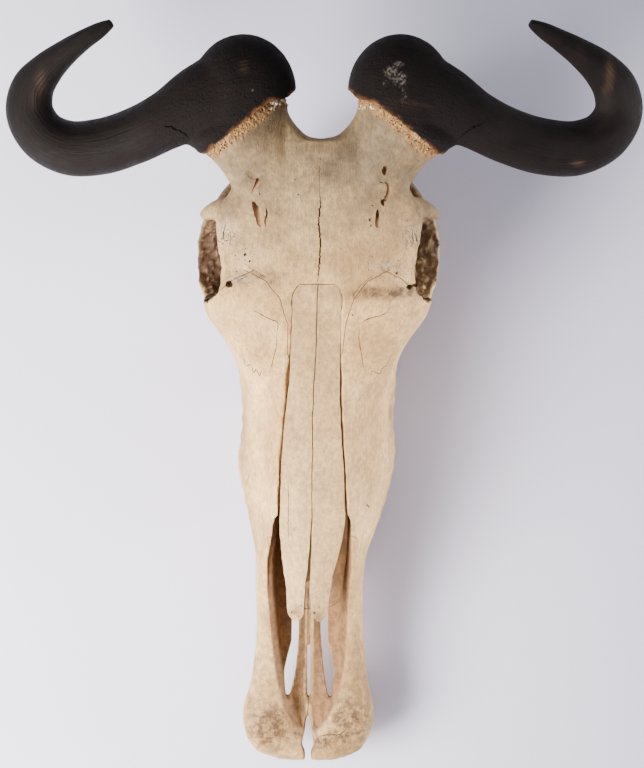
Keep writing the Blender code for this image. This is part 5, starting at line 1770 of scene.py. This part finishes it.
def bone_finish(material, pale, warm, grey, fibre_strength, bump_height):
    tree, shader, place = material_nodes(material, 0.7)
    clouds = placed(tree, grain_group, Place=place, Density=(24.0, 18.0, 24.0), Roughness=0.55)
    colour = blended(tree, clouds, rgba(pale), rgba(warm))
    blots = placed(tree, grain_group, Place=place, Density=(75.0, 60.0, 70.0), Roughness=0.7)
    blot_share = between(tree, painted(tree, "rearward"), 0.42, 0.62)
    colour = blended(tree, product(tree, blots, blot_share), colour, rgba(grey))
    fibres = placed(tree, grain_group, Place=place, Density=(900.0, 110.0, 700.0), Roughness=0.7)
    colour = tinted(tree, colour, between(tree, fibres, 1.0 - fibre_strength, 1.0 + fibre_strength))
    mottle = placed(tree, grain_group, Place=place, Density=(330.0, 240.0, 330.0), Roughness=0.75)
    colour = tinted(tree, colour, between(tree, mottle, 0.77, 1.13))
    specks = placed(tree, pinhole_group, Place=place, Density=330.0, Size=0.30, Share=0.13)
    colour = blended(tree, product(tree, specks, 0.5), colour, rgba(SPECK))
    stain_cloud = placed(tree, grain_group, Place=place, Density=(160.0, 160.0, 160.0), Roughness=0.75)
    stain = product(tree, painted(tree, "stain"), between(tree, stain_cloud, 0.5, 1.3))
    colour = blended(tree, stain, colour, rgba(STAIN))
    # Towards the back the bone turns greyer and darker.
    rear_greyed = blended(tree, 1.0, colour, rgba(REAR_GREY), "MULTIPLY")
    rearward = product(tree, painted(tree, "rearward"), between(tree, clouds, 0.82, 1.0))
    colour = blended(tree, rearward, colour, rear_greyed)
    porous = painted(tree, "porous")
    patch = product(tree, porous, between(tree, mottle, 0.15, 0.75))
    colour = blended(tree, patch, colour, rgba(WORN_PATCH))
    foot = product(tree, painted(tree, "horn_foot"), between(tree, stain_cloud, 0.55, 1.0))
    rust = blended(tree, mottle, rgba(DARK_RUST), rgba(PALE_RUST))
    colour = blended(tree, foot, colour, rust)
    pores = placed(tree, pinhole_group, Place=place, Density=620.0, Size=0.40, Share=0.5)
    pore_share = product(tree, pores, maths(tree, "MAXIMUM", porous, painted(tree, "horn_foot")))
    colour = blended(tree, product(tree, pore_share, 0.8), colour, rgba(PORE))
    # The nose's walls take a brown lining, lighter where they are most hidden: painted light in their shade.
    deep = stretched(tree, painted(tree, "hidden"), 0.45, 0.95)
    nose_lining_with_painted_light = blended(tree, deep, rgba(NOSE_LINING), rgba(DEEP_NOSE_LINING_PAINTED_LIGHT))
    nose_lining_with_painted_light = tinted(tree, nose_lining_with_painted_light, between(tree, stain_cloud, 0.65, 1.25))
    # Hidden places darken: dirt with painted shade.
    colour = placed(tree, dirt_and_shade_group, Colour=colour, Dirt=rgba(HOLLOW_DIRT_AND_SHADE), Start=0.34, Full=0.8)
    colour = blended(tree, painted(tree, "nose_wall"), colour, nose_lining_with_painted_light)
    brown = blended(tree, stain_cloud, rgba(SOCKET_BROWN), rgba(DARK_SOCKET_BROWN))
    colour = blended(tree, painted(tree, "socket_wall"), colour, brown)
    tree.links.new(colour, shader.inputs["Base Color"])
    rough = between(tree, blots, 0.6, 0.82)
    tree.links.new(rough, shader.inputs["Roughness"])
    holes = added(tree, product(tree, specks, 0.6), pore_share)
    raised = added(tree, product(tree, fibres, 0.5), product(tree, mottle, 0.5))
    bump = node(tree, "ShaderNodeBump", Height=maths(tree, "SUBTRACT", raised, holes), Distance=bump_height,
                Strength=0.6)
    tree.links.new(bump.outputs[0], shader.inputs["Normal"])


bone_finish(BONE, (0.90, 0.565, 0.24), (0.54, 0.30, 0.102), (0.30, 0.20, 0.10), 0.09, 0.0005)
bone_finish(NASAL_BONE, (0.67, 0.425, 0.19), (0.48, 0.285, 0.118), (0.31, 0.20, 0.105), 0.07, 0.0003)


# %% Cracks with dirt and painted shade, and the walls of holes with painted shade
def wall_finish(material, shallow, deep, density):
    """A rough finish that runs from one colour to a darker one as a wall gets more hidden, which paints shade
    into cracks and holes.
    """
    tree, shader, place = material_nodes(material, 0.9)
    uneven_darkening = placed(tree, grain_group, Place=place, Density=(density, density, density), Roughness=0.6)
    share = stretched(tree, added(tree, painted(tree, "hidden"), product(tree, uneven_darkening, 0.2)), 0.35, 0.95)
    tree.links.new(blended(tree, share, rgba(shallow), rgba(deep)), shader.inputs["Base Color"])


# Crack walls: dark dirt, with painted shade that deepens where a wall is hidden.
wall_finish(CREVICE, (0.15, 0.075, 0.033), (0.045, 0.022, 0.011), 300.0)
# Walls of holes and pores: brown bone with painted shade that deepens where a wall is hidden.
wall_finish(SHADED_BONE, (0.33, 0.185, 0.085), (0.07, 0.031, 0.013), 260.0)

# %% Black horn
BLACK, SOFT_BLACK, STRAND_GREY = (0.0033, 0.0024, 0.0024), (0.0075, 0.005, 0.0048), (0.0125, 0.0082, 0.0073)
RIM_BROWN, DUST_GREY, WORN_HORN = (0.15, 0.062, 0.024), (0.20, 0.17, 0.145), (0.075, 0.043, 0.026)
tree, shader, place = material_nodes(HORN, 0.6)
shader.inputs["Specular IOR Level"].default_value = 0.09
strand_place = node(tree, "ShaderNodeAttribute", {"attribute_name": "strand"}).outputs["Vector"]
strands = placed(tree, grain_group, Place=strand_place, Density=(700.0, 700.0, 28.0), Roughness=0.7)
mottle = placed(tree, grain_group, Place=place, Density=(90.0, 90.0, 90.0), Roughness=0.7)
colour = blended(tree, mottle, rgba(BLACK), rgba(SOFT_BLACK))
colour = blended(tree, product(tree, strands, 0.38), colour, rgba(STRAND_GREY))
brown = stretched(tree, added(tree, painted(tree, "rim"), product(tree, mottle, 0.35)), 0.75, 1.3)
colour = blended(tree, brown, colour, rgba(RIM_BROWN))
dust = placed(tree, grain_group, Place=place, Density=(560.0, 560.0, 560.0), Roughness=0.85)
scuff = stretched(tree, product(tree, painted(tree, "scuff"), dust), 0.26, 0.6)
colour = blended(tree, product(tree, scuff, 0.6), colour, rgba(DUST_GREY))
worn = stretched(tree, product(tree, painted(tree, "worn"), between(tree, strands, 0.5, 1.2)), 0.1, 0.9)
colour = blended(tree, product(tree, worn, 0.6), colour, rgba(WORN_HORN))
tree.links.new(colour, shader.inputs["Base Color"])
boss_only = maths(tree, "SUBTRACT", 1.0, painted(tree, "shaft"))
gloss = between(tree, mottle, 0.50, 0.66)
tree.links.new(added(tree, gloss, product(tree, boss_only, 0.14)), shader.inputs["Roughness"])
pocks = placed(tree, pinhole_group, Place=place, Density=420.0, Size=0.5, Share=0.35)
rough_skin = added(tree, product(tree, dust, 0.8), product(tree, pocks, -1.0))
surface = added(tree, product(tree, strands, 0.6), product(tree, rough_skin, boss_only))
bump = node(tree, "ShaderNodeBump", Height=surface, Distance=0.0006, Strength=0.7)
tree.links.new(bump.outputs[0], shader.inputs["Normal"])

# %% Worn teeth
TOOTH = bpy.data.materials.new("worn_teeth")
tree, shader, place = material_nodes(TOOTH, 0.4)
streaks = placed(tree, grain_group, Place=place, Density=(420.0, 420.0, 60.0), Roughness=0.6)
colour = blended(tree, streaks, rgba((0.62, 0.50, 0.33)), rgba((0.42, 0.30, 0.17)))
# Hidden parts of the teeth darken: dirt with painted shade.
colour = placed(tree, dirt_and_shade_group, Colour=colour, Dirt=rgba((0.10, 0.05, 0.022)), Start=0.45, Full=0.9)
tree.links.new(colour, shader.inputs["Base Color"])
shader = material_nodes(CHALK, 0.9)[1]
shader.inputs["Base Color"].default_value = (0.60, 0.50, 0.37, 1.0)
print("finishes:", [m.name for m in (BONE, NASAL_BONE, CREVICE, SHADED_BONE, HORN, TOOTH)])


# %% [markdown]
# ## Into the frame
#
# Every piece moves by the same shift into the frame, gets its finish, rides on the one body that a still
# object has, and takes the place of the plain solid, which is hidden.

# %% Place the pieces and hide the plain solids that they replace
SHARP_DEG = 50


def finish_piece(obj, finish, slot, *nodes):
    """Moves the mesh into the frame, gives it its finish, shades it, ties it to the body and hides the plain
    solids.
    """
    if not obj.data.materials:
        obj.data.materials.append(finish)
    for index, carried in enumerate(obj.data.materials):
        if carried is None or index == 0:
            obj.data.materials[index] = finish
    obj.data.shade_smooth()
    obj.data.set_sharp_from_angle(angle=math.radians(SHARP_DEG))
    obj.data.transform(Matrix.Translation(WORKING_ORIGIN * MM))
    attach(obj, "root")
    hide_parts(*nodes)


for node_name, obj in bones.items():
    is_nasal = node_name.startswith("nasal")
    finish_piece(obj, NASAL_BONE if is_nasal else BONE, "nasal_bone" if is_nasal else "bone", node_name)
for node_name, obj in horns.items():
    finish_piece(obj, HORN, "horn", node_name)
finish_piece(flakes, CHALK, "bone", "cranium")
for word, row in teeth.items():
    finish_piece(row, TOOTH, "bone", f"maxilla_{word}")
